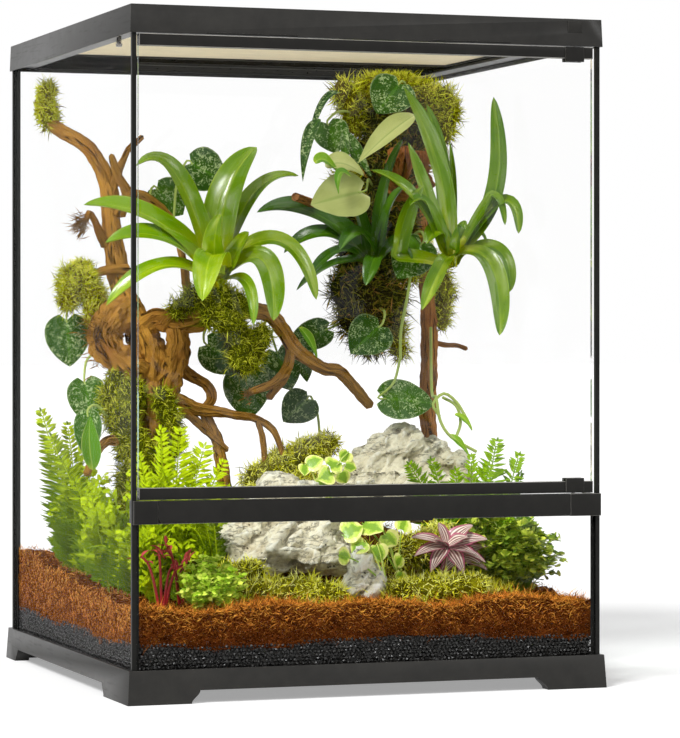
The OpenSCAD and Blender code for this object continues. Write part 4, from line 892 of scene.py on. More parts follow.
# Limbs: x, y, z and radius in mm at each point.
BRANCH = [
    [-206, 148, 548, 4.5], [-205, 147, 536, 6], [-195, 140, 524, 6.5], [-180, 130, 514, 7],
    [-168, 122, 503, 7], [-160, 115, 488, 7.5], [-155, 110, 474, 8], [-153, 104, 454, 9],
    [-152, 100, 421, 10], [-150, 95, 400, 10.5], [-148, 88, 376, 11], [-142, 74, 350, 13],
    [-134, 62, 328, 15]]
TRUNK = [
    [-134, 62, 328, 15], [-126, 56, 300, 17], [-128, 54, 262, 18], [-132, 52, 222, 19],
    [-132, 50, 170, 20], [-128, 48, 100, 24]]
KNOTS = [
    [-143, 70, 352, 12], [-160, 60, 340, 14], [-172, 56, 322, 14], [-160, 50, 300, 15],
    [-138, 50, 286, 15]]
LIMB = [
    [-134, 58, 326, 13], [-122, 50, 336, 11], [-104, 42, 334, 10.5], [-86, 34, 336, 10],
    [-67, 26, 344, 9.5], [-44, 20, 347, 8.5], [-18, 20, 343, 7.5], [-4, 20, 328, 7],
    [7, 20, 311, 7.5], [24, 20, 298, 6.5], [39, 20, 290, 6], [56, 25, 287, 6],
    [72, 30, 273, 5.5], [91, 35, 254, 5]]
FRONT_STEM = [[-104, 42, 334, 10], [-103, 40, 312, 10], [-108, 42, 290, 12], [-120, 46, 266, 14]]
ROOTS = [
    [[-139, 90, 502, 3], [-146, 96, 484, 4], [-152, 103, 462, 5]],
    [[-126, 85, 515, 2.5], [-139, 90, 502, 3]],
    [[-158, 80, 496, 3], [-152, 82, 479, 4], [-142, 84, 460, 4.5], [-146, 94, 440, 6]],
    [[-142, 84, 460, 4.5], [-128, 80, 458, 5], [-111, 75, 446, 5], [-100, 66, 430, 4],
     [-96, 50, 400, 4], [-92, 38, 350, 5]],
    [[-183, 82, 432, 2.5], [-178, 84, 440, 3], [-160, 96, 410, 5]],
    [[-142, 78, 386, 5], [-160, 78, 386, 4.5], [-174, 80, 381, 4], [-184, 82, 368, 3]],
    [[-106, 44, 300, 6], [-89, 48, 284, 5.5], [-73, 45, 275, 5], [-68, 44, 262, 4.5],
     [-76, 43, 250, 4.5]],
    [[-118, 46, 268, 8], [-104, 44, 262, 6.5], [-86, 40, 252, 6], [-54, 30, 247, 4.5],
     [-27, 25, 241, 4], [-14, 20, 231, 3.5], [-6, 18, 214, 3], [0, 16, 190, 3]],
    [[-27, 25, 241, 3.5], [-22, 24, 217, 3], [-20, 22, 185, 3]],
    [[-98, 42, 252, 5], [-73, 40, 229, 4], [-55, 38, 212, 3.5]],
    [[-76, 43, 248, 5], [-63, 42, 220, 5.5], [-58, 40, 190, 6], [-52, 38, 140, 6.5]],
    [[4, 20, 309, 5], [0, 16, 292, 5], [-16, 12, 277, 4], [-40, 8, 268, 3]],
    [[4, 22, 305, 4.5], [2, 30, 284, 4.5], [-13, 35, 262, 3.5]],
    [[-92, 30, 340, 5], [-80, 14, 352, 6], [-66, 0, 366, 5]],
    [[-140, 44, 240, 5], [-163, 30, 224, 5], [-178, 24, 222, 4.5], [-190, 16, 212, 4.5],
     [-201, 12, 192, 4]], [[-120, 44, 330, 7], [-112, 34, 344, 5], [-98, 26, 352, 4]],
    [[-132, 50, 170, 14], [-156, 30, 120, 10], [-172, 20, 90, 8]],
    [[-132, 50, 170, 12], [-104, 66, 130, 10], [-86, 80, 92, 8]]]
CHUNK = [
    [[112, 18, 503, 6], [108, 16, 490, 8], [112, 14, 474, 7], [122, 14, 464, 5]],
    [[124, 20, 505, 6], [122, 14, 494, 7], [118, 12, 480, 6], [114, 14, 466, 6]],
    [[138, 22, 500, 7], [136, 16, 488, 8], [142, 16, 476, 6], [150, 20, 468, 4]],
    [[104, 22, 470, 5], [112, 14, 462, 7], [124, 14, 460, 6], [134, 18, 466, 5]],
    [[150, 26, 503, 5], [146, 20, 494, 6], [136, 16, 492, 5]]]
SAWN_STICK = [[48, 50, 447, 4.2], [28, 34, 452, 4.4], [8, 18, 456, 4.2]]
POST = [
    [178, 95, 95, 8], [177, 95, 200, 8], [174, 95, 250, 8], [176, 95, 300, 8],
    [175, 95, 350, 7.8], [172, 94, 388, 7.6], [164, 90, 430, 7.2], [158, 86, 480, 6.4],
    [156, 84, 530, 5.6]]
POST_TWIG = [[176, 95, 316, 3], [192, 92, 313, 2.6], [204, 90, 312, 2.4], [213, 87, 309, 2.4]]

# Clods of moss and of the hanging clump: two ends and the radius at each.
CLUMP = [
    ([112, 70, 540], [150, 78, 535], 30, 28), ([112, 66, 500], [142, 70, 500], 34, 30),
    ([104, 62, 470], [132, 66, 462], 28, 26), ([96, 56, 440], [126, 62, 430], 24, 26),
    ([86, 50, 400], [120, 58, 396], 26, 26), ([80, 48, 366], [112, 54, 362], 30, 28),
    ([84, 48, 340], [104, 52, 340], 26, 24), ([92, 46, 318], [98, 50, 316], 17, 16)]
MOSS_TOP = [
    ([92, 74, 560], [116, 82, 568], 14, 16), ([116, 82, 568], [146, 88, 568], 16, 16),
    ([146, 88, 568], [172, 90, 560], 16, 17), ([172, 90, 560], [184, 92, 548], 17, 12),
    ([88, 66, 552], [84, 62, 530], 13, 10), ([176, 88, 545], [174, 88, 520], 14, 10),
    ([64, 50, 470], [68, 52, 452], 9, 11), ([70, 50, 480], [80, 54, 470], 9, 10),
    ([72, 58, 562], [82, 60, 545], 13, 13), ([188, 88, 560], [194, 86, 545], 14, 12),
    ([190, 86, 540], [188, 86, 522], 12, 9), ([188, 96, 386], [192, 96, 366], 9, 11),
    ([192, 96, 366], [190, 96, 334], 11, 7), ([128, 66, 330], [134, 66, 306], 10, 8),
    ([150, 80, 385], [168, 88, 400], 12, 12), ([116, 56, 400], [128, 66, 330], 10, 11)]
MOSS_BRANCH = [
    ([-206, 148, 562], [-206, 147, 544], 8, 11), ([-206, 147, 544], [-203, 146, 532], 11, 9),
    ([-204, 148, 566], [-210, 146, 552], 5, 6), ([-200, 148, 566], [-204, 146, 550], 4, 6),
    ([-186, 80, 376], [-198, 78, 368], 14, 12), ([-198, 78, 368], [-203, 76, 354], 12, 9),
    ([-186, 80, 376], [-176, 78, 358], 14, 13), ([-176, 78, 358], [-178, 72, 340], 12, 9),
    ([-186, 84, 388], [-202, 80, 382], 8, 6), ([-196, 80, 370], [-204, 84, 372], 9, 8)]
MOSS_TRUNK = [
    ([-150, 36, 268], [-162, 34, 246], 15, 17), ([-162, 34, 246], [-150, 30, 214], 17, 18),
    ([-150, 30, 214], [-128, 26, 200], 18, 16), ([-128, 26, 200], [-112, 24, 222], 15, 12),
    ([-122, 26, 262], [-114, 24, 240], 12, 11), ([-164, 40, 280], [-172, 38, 262], 11, 10),
    ([-150, 30, 190], [-156, 26, 158], 18, 17), ([-92, 16, 360], [-72, 4, 356], 13, 17),
    ([-72, 4, 356], [-52, 8, 350], 17, 13), ([-80, 2, 340], [-62, 2, 336], 13, 13),
    ([-56, 10, 330], [-44, 14, 300], 14, 17), ([-44, 14, 300], [-28, 16, 322], 17, 12),
    ([-98, 22, 352], [-108, 30, 346], 10, 9)]
MOSS_GROUND = [
    ([-30, 22, 182], [-6, 24, 196], 20, 20), ([-6, 24, 196], [22, 28, 208], 20, 18),
    ([22, 28, 208], [46, 32, 216], 18, 15), ([-40, 10, 160], [20, 14, 176], 24, 26),
    ([-112, -170, 92], [-80, -180, 92], 14, 16), ([-80, -180, 92], [-44, -182, 92], 16, 15),
    ([-44, -182, 92], [-20, -186, 88], 15, 12), ([44, -186, 90], [82, -186, 92], 14, 16),
    ([82, -186, 92], [118, -182, 92], 16, 15), ([-90, -150, 106], [-112, -140, 104], 17, 14),
    ([60, -120, 120], [110, -110, 130], 20, 22)]

# Strap leaves: foot, point that pulls the arch, tip, share of the widest leaf, roll in degrees.
LEFT_LEAVES = [
    [[-88, -10, 396], [-118, 0, 516], [-156, 0, 482], 0.74, -25],
    [[-76, -8, 396], [-74, 2, 470], [-32, 14, 503], 1.1, 20],
    [[-70, -8, 398], [-40, 12, 484], [16, 30, 477], 0.62, 32],
    [[-66, -14, 394], [-8, -20, 446], [12, -34, 356], 0.62, 20],
    [[-68, -24, 386], [-34, -52, 420], [-40, -62, 336], 0.75, 10],
    [[-72, -26, 376], [-58, -62, 384], [-63, -72, 332], 0.36, 0],
    [[-82, -26, 386], [-104, -66, 420], [-116, -84, 354], 0.85, 0],
    [[-92, -18, 376], [-142, -32, 410], [-190, -18, 350], 0.62, -30],
    [[-92, -14, 386], [-140, -22, 434], [-188, -8, 409], 0.78, -35],
    [[-92, -8, 392], [-142, -4, 452], [-205, 8, 445], 0.84, -36],
    [[-84, -22, 380], [-92, -34, 420], [-84, -40, 436], 0.7, 0],
    [[-74, -20, 380], [-62, -30, 410], [-56, -36, 420], 0.7, 0],
    [[-80, 0, 386], [-60, 30, 430], [-44, 56, 430], 0.6, 10]]
RIGHT_LEAVES = [
    [[150, -28, 412], [152, -16, 496], [106, -18, 562], 0.58, 25],
    [[152, -14, 412], [160, 10, 500], [140, 8, 548], 0.5, 10],
    [[160, -40, 408], [208, -52, 450], [186, -52, 552], 0.56, -35],
    [[140, -38, 402], [112, -46, 470], [64, -42, 480], 0.5, -10],
    [[98, -22, 398], [98, -38, 446], [118, -42, 466], 0.62, 0],
    [[150, -30, 400], [136, -40, 440], [120, -44, 410], 0.6, 0],
    [[146, -34, 404], [120, -30, 470], [108, -26, 508], 0.48, 8],
    [[160, -10, 420], [170, 8, 470], [166, 12, 512], 0.22, 0],
    [[162, -38, 410], [206, -58, 488], [208, -62, 420], 0.55, 30],
    [[182, -54, 456], [190, -60, 462], [194, -62, 428], 0.34, 10],
    [[156, -46, 402], [186, -78, 410], [176, -92, 322], 0.64, 15],
    [[164, -42, 404], [204, -58, 420], [198, -64, 364], 0.5, 25],
    [[142, -46, 398], [124, -76, 394], [98, -90, 346], 0.5, -10],
    [[142, -34, 410], [120, -40, 470], [100, -52, 446], 0.5, -15],
    [[150, -44, 402], [150, -58, 440], [152, -64, 424], 0.42, 0],
    [[156, -20, 408], [186, 0, 440], [204, 10, 414], 0.5, 10]]
HOLDING_ROOT = [[152, -30, 392, 4], [146, 0, 392, 4], [140, 36, 398, 4]]
MIDDLE_LEAVES = [
    [[74, 14, 408], [26, 36, 462], [-18, 58, 442], 0.85, -30],
    [[70, 10, 404], [36, 22, 440], [2, 34, 402], 0.6, -20],
    [[72, 6, 398], [44, 0, 420], [12, -8, 376], 0.36, -10],
    [[84, 2, 404], [60, -14, 440], [40, -22, 404], 0.5, 0],
    [[92, 4, 410], [90, -10, 450], [104, -24, 466], 0.5, 10],
    [[88, 8, 414], [92, 0, 480], [110, -6, 512], 0.42, 15],
    [[78, 12, 412], [64, 4, 462], [48, -4, 470], 0.6, -15],
    [[96, 6, 402], [112, -14, 428], [118, -26, 390], 0.6, 10],
    [[84, 0, 396], [74, -26, 404], [62, -34, 370], 0.5, 0],
    [[72, 12, 396], [40, 30, 396], [18, 44, 366], 0.34, -20]]

# Heart leaves: stem end, tip, width and the points of the stalk.
HEARTS_LEFT = [
    [[-196, 106, 342], [-194, 102, 292], 40, [[-184, 82, 368], [-192, 98, 360]]],
    [[-190, 62, 282], [-184, 56, 236], 34, [[-172, 56, 310], [-186, 64, 300]]],
    [[-196, 26, 252], [-198, 18, 206], 24, [[-170, 34, 240], [-186, 32, 256]]],
    [[-84, 74, 492], [-46, 66, 470], 40, [[-100, 66, 430], [-94, 74, 470]]],
    [[-112, 92, 468], [-84, 86, 440], 36, [[-111, 75, 446], [-117, 88, 460]]]]
HEARTS_CENTRE = [
    [[-24, 74, 292], [-22, 70, 240], 42, [[-16, 20, 342], [-30, 56, 310]]],
    [[-66, 76, 316], [-28, 70, 288], 38, [[-67, 26, 344], [-70, 58, 330]]],
    [[12, 90, 310], [26, 84, 268], 36, [[-4, 20, 328], [0, 66, 326]]],
    [[58, 56, 330], [14, 62, 312], 28, [[84, 48, 340], [72, 54, 336]]],
    [[48, 88, 262], [18, 84, 238], 34, [[46, 60, 134], [56, 86, 230]]],
    [[40, 92, 318], [44, 88, 276], 18, [[12, 20, 306], [34, 78, 322]]]]
HEARTS_TOP = [
    [[124, 34, 572], [94, 24, 540], 42, [[124, 62, 548], [130, 40, 566]]],
    [[50, 44, 532], [58, 38, 500], 32, [[104, 68, 538], [66, 48, 542]]],
    [[140, 14, 416], [108, 4, 378], 40, [[122, 52, 400], [138, 26, 424]]],
    [[98, 18, 334], [62, 8, 306], 40, [[98, 46, 350], [102, 24, 346]]],
    [[88, 4, 262], [146, 0, 256], 36, [[112, 6, 300], [104, 4, 276]]]]
PALE_HEARTS = [[[70, -12, 462], [12, -20, 448], 42, [[104, 58, 466], [84, 20, 474]]]]

# Narrow leaves: foot, point that pulls the arch, tip and width.
PALE_BLADES = [
    ([122, -8, 536], [92, -16, 520], [62, -12, 488], 25),
    ([30, -8, 484], [44, -16, 494], [68, -12, 476], 22)]
DARK_BLADES = [
    ([64, 44, 560], [38, 34, 562], [25, 28, 503], 8),
    ([36, 24, 532], [18, 18, 520], [14, 12, 470], 13),
    ([62, 22, 520], [66, 12, 498], [84, 10, 476], 15),
    ([60, 20, 524], [56, 14, 500], [60, 12, 484], 9)]
LIME_BLADES = [
    ([14, 24, 330], [24, 20, 322], [30, 16, 300], 10),
    ([150, -26, 226], [158, -32, 222], [168, -34, 206], 8),
    ([156, -26, 246], [166, -30, 244], [172, -32, 230], 7),
    ([50, -26, 474], [30, -32, 488], [34, -36, 456], 9),
    ([16, -20, 486], [22, -20, 498], [40, -18, 478], 14),
    ([118, 40, 400], [122, 24, 404], [128, 12, 396], 10)]
OVAL_LEAF = ([-199, -6, 196], [-206, -10, 222], [-203, -10, 247], 19)

# Bare stems.
TRAILING = [
    [[172, 80, 330], [150, 20, 268], [140, -18, 262], [142, -24, 240], [152, -28, 224],
     [176, -32, 210]], [[150, -10, 262], [160, -20, 254], [163, -24, 238], [156, -28, 222]],
    [[142, -22, 244], [136, -20, 256], [148, -18, 266], [160, -20, 258], [168, -24, 244]]]
LONG_STEM = [[122, 52, 396], [126, 16, 406], [122, 8, 372], [112, 4, 328], [112, 6, 300]]

# Tufts: foot, number of leaves, their length, width and rise, start and sweep in degrees.
TUFTS = {
    "fern_left": [([-178, 118, 104], 8, 49, 21, 76, 200, 320),
                  ([-172, -2, 90], 8, 58, 21, 104, 120, 320),
                  ([-126, -46, 96], 9, 90, 26, 122, 10, 340)],
    "fern_front": [([-170, -106, 84], 8, 56, 21, 70, 0, 330),
                   ([-108, -112, 92], 7, 67, 23, 84, 60, 210)],
    "fern_right": [([166, -84, 96], 8, 67, 18, 100, 30, 320),
                   ([186, 20, 112], 5, 40, 18, 84, 60, 300)],
    "bush_right": [([176, -150, 84], 8, 42, 18, 34, 0, 360),
                   ([146, -130, 90], 6, 42, 18, 36, 30, 340),
                   ([190, -104, 92], 4, 28, 18, 30, 90, 190)],
    "ivy_front": [([30, -178, 96], 6, 44, 20, 46, 200, 340),
                  ([48, -160, 104], 5, 40, 20, 44, 10, 200),
                  ([-6, -100, 174], 6, 34, 20, 26, 160, 300)],
    "tradescantia": [([88, -158, 96], 6, 44, 14, 40, 190, 340),
                     ([110, -150, 100], 5, 44, 14, 42, 300, 240)],
    "red_stems": [([-180, -172, 80], 5, 38, 14, 56, 20, 330),
                  ([-158, -160, 82], 4, 38, 14, 60, 60, 300)],
    "ground_bush": [([-152, -192, 78], 6, 26, 14, 28, 20, 360),
                    ([-128, -194, 78], 5, 24, 14, 26, 200, 340),
                    ([-140, -180, 80], 4, 26, 14, 32, 30, 150)]}

# Loose fronds: place, spread, number, their length, width and rise, and how light they are, a
# painted light that is lighter towards the front.
BUSHY = {
    "fern_left": [((-188, 110), (20, 34), 12, 52, 30, 112, 0.2),
                  ((-184, 34), (22, 40), 17, 62, 32, 110, 0.5),
                  ((-178, -40), (26, 34), 15, 60, 32, 104, 0.6),
                  ((-128, -58), (26, 20), 8, 52, 30, 104, 0.5),
                  ((-196, 10), (12, 90), 10, 34, 26, 62, 0.35),
                  ((-196, 84), (8, 44), 9, 40, 28, 88, 0.4)],
    "fern_front": [((-140, -84), (24, 14), 13, 46, 32, 110, 0.7),
                   ((-186, -112), (18, 26), 12, 46, 28, 84, 0.6),
                   ((-112, -96), (14, 14), 8, 40, 26, 80, 0.5),
                   ((-170, -150), (26, 16), 6, 30, 22, 44, 0.5)],
    "fern_right": [((172, -84), (26, 26), 12, 42, 26, 88, 0.45),
                   ((190, -20), (18, 30), 9, 36, 24, 90, 0.35),
                   ((124, -92), (22, 10), 9, 36, 24, 66, 0.6)]}

# Upright fronds: foot, tip, width and how light they are, a painted light that is lighter towards
# the front.
UPRIGHT = {
    "fern_left": [((-188, 120, 108), (-212, 146, 250), 34, 0.0),
                  ((-184, 96, 106), (-208, 122, 226), 40, 0.05),
                  ((-180, 60, 104), (-210, 74, 204), 40, 0.1),
                  ((-176, 130, 108), (-186, 142, 236), 30, 0.0),
                  ((-184, 20, 100), (-212, 16, 186), 36, 0.3)],
    "fern_front": [((-150, -76, 96), (-156, -84, 238), 38, 0.9),
                   ((-144, -78, 96), (-138, -86, 236), 42, 1.0),
                   ((-138, -78, 96), (-114, -86, 222), 42, 0.85),
                   ((-154, -78, 96), (-178, -86, 214), 36, 0.8),
                   ((-134, -80, 96), (-98, -92, 206), 36, 0.7)],
    "fern_right": [((170, -56, 108), (186, -62, 222), 36, 0.4),
                   ((188, -56, 106), (209, -62, 208), 34, 0.75),
                   ((198, -50, 106), (212, -58, 190), 22, 0.5),
                   ((128, -90, 110), (82, -96, 202), 30, 0.3),
                   ((130, -90, 110), (104, -98, 206), 28, 0.35),
                   ((150, -86, 104), (148, -90, 208), 32, 0.9),
                   ((154, -86, 104), (166, -90, 200), 30, 0.85),
                   ((140, -88, 106), (130, -94, 196), 30, 0.6)]}

# Round leaves: middle and width.
IVY = [
    (-12, -100, 205, 17), (8, -100, 202, 18), (-4, -106, 192, 17), (19, -96, 209, 13),
    (-22, -100, 198, 13), (-8, -104, 184, 15), (14, -106, 190, 14), (24, -98, 200, 12),
    (2, -165, 145, 21), (21, -166, 148, 24), (37, -170, 136, 18), (6, -170, 130, 17),
    (-8, -172, 122, 15), (44, -173, 116, 13), (25, -172, 124, 17), (12, -168, 112, 14),
    (50, -170, 150, 14), (32, -160, 158, 16), (46, -172, 102, 11), (-2, -160, 158, 15)]

# Striped plants: heart, then the tip and width of each leaf.
STARS = [
    ((96, -160, 134),
     [((134, -166, 147), 14), ((122, -160, 160), 14), ((58, -166, 150), 12),
      ((60, -170, 133), 11), ((74, -176, 118), 12), ((106, -178, 116), 13),
      ((130, -172, 126), 12), ((88, -158, 163), 12), ((112, -172, 150), 13),
      ((80, -170, 148), 12), ((118, -176, 134), 12)]),
    ((112, -148, 122),
     [((140, -152, 140), 11), ((136, -160, 118), 10), ((92, -150, 112), 10),
      ((120, -146, 144), 11)])]


def tuft_lines(tuft, n):
    """The centre line, width and number of each leaf of a tuft, as in the CAD tufts."""
    p, count, length, width, rise, start, sweep = tuft
    p = np.array(p, float)
    for i in range(count):
        a = math.radians(start + sweep * i / count)
        k = 1 - 0.22 * ((i * 5) % 3) / 2
        h = rise * (0.75 + 0.25 * ((i * 7) % 4) / 3)
        out = np.array([math.cos(a), math.sin(a), 0])
        yield bezier(p + 3 * out, p + out * 0.38 * length * k + UP * h * 1.15,
                     p + out * 0.74 * length * k + UP * h * 0.8, n), width * k, i


# ---------------------------------------------------------------- settings

def colour(name, text, default):
    """A colour to set in the sidebar."""
    return FloatVectorProperty(name=name, description=text, default=default, subtype="COLOR",
                               size=3, min=0.0, max=1.0)


def size(name, text, default):
    """A length in metres to set in the sidebar."""
    return FloatProperty(name=name, description=text, default=default, min=0.0, unit="LENGTH",
                         subtype="DISTANCE", precision=5)


class CaseSettings(bpy.types.PropertyGroup):
    edge: size("Moulded edge", "Radius on the edges of the black mouldings", 0.0007)
    small_edge: size("Small edge", "Radius on the edges of the thin rails and pads", 0.0004)
    # Both moulding colours, made many times lighter, also give the painted highlight on the rounded
    # edges.
    plastic: colour("Moulding colour", "Colour of the black frames", (0.012, 0.0115, 0.0105))
    patches_and_edge_highlight: colour("Moulding second colour", "Slightly lighter colour in the frames' cloudy patches",
                 (0.017, 0.0162, 0.0145))
    glass: colour("Glass colour", "Colour of the panes", (0.97, 1.0, 0.985))
    glass_edge: colour("Glass edge", "Colour of the panes' cut edges", (0.16, 0.42, 0.3))
    net: colour("Net colour", "Colour of the woven wire in the lid", (0.95, 0.83, 0.6))
    net_pitch: size("Net pitch", "Distance between two wires of the net", 0.0026)
    net_wire: size("Net wire", "Thickness of one wire of the net", 0.0005)


class GroundSettings(bpy.types.PropertyGroup):
    bead: size("Pellet size", "Width of one clay pellet", 0.0040)
    pellet: colour("Pellet colour", "Colour of the clay pellets", (0.004, 0.0037, 0.0034))
    threads: IntProperty(name="Fibre threads", description="Number of loose threads in the fibre",
                         default=25000, min=100, max=30000)
    wet: colour("Wet fibre", "Colour of the damp fibre behind the glass", (0.13, 0.032, 0.006))
    dry: colour("Dry fibre", "Colour of the fibre's dry threads", (1.0, 0.35, 0.05))
    rock_dark: colour("Rock shade", "Darker colour of the rocks", (0.68, 0.6, 0.4))
    rock_light: colour("Rock colour", "Lighter colour of the rocks", (1.0, 0.95, 0.74))


class PlantSettings(bpy.types.PropertyGroup):
    strap: size("Strap leaf width", "Width of the widest bromeliad leaf", 0.030)
    lime_dark: colour("Bromeliad shade", "Darker green of the left bromeliad", (0.11, 0.26, 0.001))
    lime_light: colour("Bromeliad green", "Lighter green of the left bromeliad",
                       (0.62, 0.76, 0.001))
    lime_base: colour("Bromeliad base", "Yellow green where its leaves start", (0.66, 0.62, 0.004))
    deep_dark: colour("Deep leaf shade", "Darker green of the middle rosette", (0.016, 0.08, 0.002))
    deep_light: colour("Deep leaf green", "Lighter green of the middle rosette", (0.2, 0.46, 0.006))
    silver: colour("Silver fleck", "Colour of the flecks on the hanging leaves", (0.46, 0.58, 0.26))
    # The colour of the cracks is also painted as shade in the hollows of the wood.
    wood_dark: colour("Wood crack", "Colour in the cracks of the wood", (0.04, 0.016, 0.006))
    wood_mid: colour("Wood colour", "Middle colour of the wood", (0.24, 0.1, 0.018))
    wood_light: colour("Wood light", "Lighter colour of the wood", (0.6, 0.3, 0.05))
    moss: colour("Moss colour", "Colour of the bright moss", (0.68, 0.74, 0.012))


# ---------------------------------------------------------------- the case

class PieceOperator:
    """What all operators share."""
    bl_options = {"REGISTER", "UNDO"}


class TERRARIUM_OT_mouldings(PieceOperator, bpy.types.Operator):
    """Rounds the edges of the black frames, rails, pads, bar and covers, and makes them plastic"""
    bl_idname = "terrarium.mouldings"
    bl_label = "Black mouldings"

    # name, how much lighter than the two set colours, roughness and specular level; the much
    # lighter edge plastics are a painted highlight
    plastics = (("Bar plastic", 1.0, 1.0, 0.36, 0.12), ("Frame plastic", 1.5, 1.6, 0.34, 0.2),
                ("Lid plastic", 0.3, 0.35, 0.7, 0.0), ("Rubbed edge", 20.0, 24.0, 0.3, 0.5),
                ("Dull edge", 2.5, 3.5, 0.45, 0.1), ("Button plastic", 1.6, 1.6, 0.42, 0.12))
    # plastic on the faces and on the edges, the edge one lighter as a painted highlight, setting
    # for the edges' radius, and nodes by body
    pieces = (("Frame plastic", "Rubbed edge", "edge", {"case": ("base_frame", "top_frame")}),
              ("Lid plastic", "Dull edge", "edge", {"case": ("rear_deck",)}),
              ("Bar plastic", "Rubbed edge", "edge", {"case": ("sill_rail",)}),
              ("Bar plastic", "Rubbed edge", "small_edge", {
                  "case": ("sill_cap_left", "sill_cap_right"),
                  "door": ("door_top_rail", "door_bottom_rail", "hinge_pad_upper",
                           "hinge_pad_lower"),
                  "latch": ("latch_bar",)}),
              ("Lid plastic", "Dull edge", "edge", {"lid": ("lid_frame",)}),
              ("Bar plastic", "Rubbed edge", "small_edge", {
                  "lid": ("lid_tab",), "shutter_left": ("inlet_shutter_left",),
                  "shutter_right": ("inlet_shutter_right",)}),
              ("Button plastic", "Dull edge", "small_edge", {"button": ("lid_button",)}))

    def execute(self, context):
        case = context.scene.case_settings
        made = {name: plastic(name, shade(case.plastic, a), shade(case.patches_and_edge_highlight, b), rough, shine)
                for name, a, b, rough, shine in self.plastics}
        for face, rim, edge, bodies in self.pieces:
            for body, nodes in bodies.items():
                slot = "button_plastic" if body == "button" else "frame_plastic"
                for node in nodes:
                    moulding(node, body, made[face], made[rim], slot, getattr(case, edge))
        return {"FINISHED"}


class TERRARIUM_OT_glass(PieceOperator, bpy.types.Operator):
    """Gives the panes their glass, the seams their silicone and the small parts their metals"""
    bl_idname = "terrarium.glass"
    bl_label = "Glass, seams and metal parts"

    def execute(self, context):
        case = context.scene.case_settings
        tint, edge = shade(case.glass), shade(case.glass_edge)
        for m, nodes in (
                (glass("Glass facing front", "Y", tint, edge),
                 ("back_pane", "front_pane", "door_pane")),
                (glass("Glass facing the side", "X", tint, edge), ("left_pane", "right_pane")),
                (glass("Glass of the floor", "Z", tint, edge), ("bottom_pane",)),
                (rubber("Black silicone", (0.012, 0.012, 0.011)), ("corner_seams", "inner_seams")),
                (plain_metal("Pin steel", (0.5, 0.49, 0.47), 0.24),
                 ("hinge_pin_upper", "hinge_pin_lower", "strike_plate", "latch_pins",
                  "latch_magnets")),
                (plain_metal("Stud chrome", (0.22, 0.21, 0.2), 0.25), ("flange_stud",))):
            for node in nodes:
                paint(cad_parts[node].data, m)
        return {"FINISHED"}


class TERRARIUM_OT_lid_net(PieceOperator, bpy.types.Operator):
    """Weaves the lid's fine wire net"""
    bl_idname = "terrarium.lid_net"
    bl_label = "Lid net"

    weave = 0.00018        # how far the two rows of wires stand above and below the middle, m
    corner = 0.00012       # bevel on a wire, m

    def execute(self, context):
        case = context.scene.case_settings
        lo, hi = (Vector(c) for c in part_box("lid_net"))
        wires = [self.wires(lo, hi, case, axis) for axis in (0, 1)]
        bpy.ops.object.select_all(action="DESELECT")
        for w in wires:
            w.select_set(True)
        bpy.context.view_layer.objects.active = wires[0]
        bpy.ops.object.join()
        net = bpy.context.object
        net.name = net.data.name = "lid_net_wires"
        wire = plain_metal("Net metal", shade(case.net), 0.5, 0.0)
        dress(net, wire, "net_metal", "lid_net", body="lid")
        return {"FINISHED"}

    def wires(self, lo, hi, case, axis):
        """One straight wire along an axis, repeated across the net, as one mesh."""
        span, across = hi[axis] - lo[axis], hi[1 - axis] - lo[1 - axis]
        count = int(across / case.net_pitch)
        pitch = (across - case.net_wire) / (count - 1)
        bpy.ops.object.select_all(action="DESELECT")
        bpy.ops.mesh.primitive_cube_add(size=1)
        obj = bpy.context.object
        obj.scale[axis], obj.scale[1 - axis], obj.scale[2] = span, case.net_wire, case.net_wire
        obj.location[axis] = lo[axis] + span / 2
        obj.location[1 - axis] = lo[1 - axis] + case.net_wire / 2
        obj.location[2] = (lo[2] + hi[2]) / 2 + (self.weave if axis else -self.weave)
        bpy.ops.object.transform_apply(location=True, rotation=True, scale=True)
        bpy.ops.object.modifier_add(type="BEVEL")
        obj.modifiers[-1].width, obj.modifiers[-1].segments = self.corner, 1
        bpy.ops.object.modifier_add(type="ARRAY")
        m = obj.modifiers[-1]
        m.count, m.use_relative_offset, m.use_constant_offset = count, False, True
        m.constant_offset_displace = (pitch if axis else 0, 0 if axis else pitch, 0)
        apply_all(obj)
        return obj


# ---------------------------------------------------------------- the ground

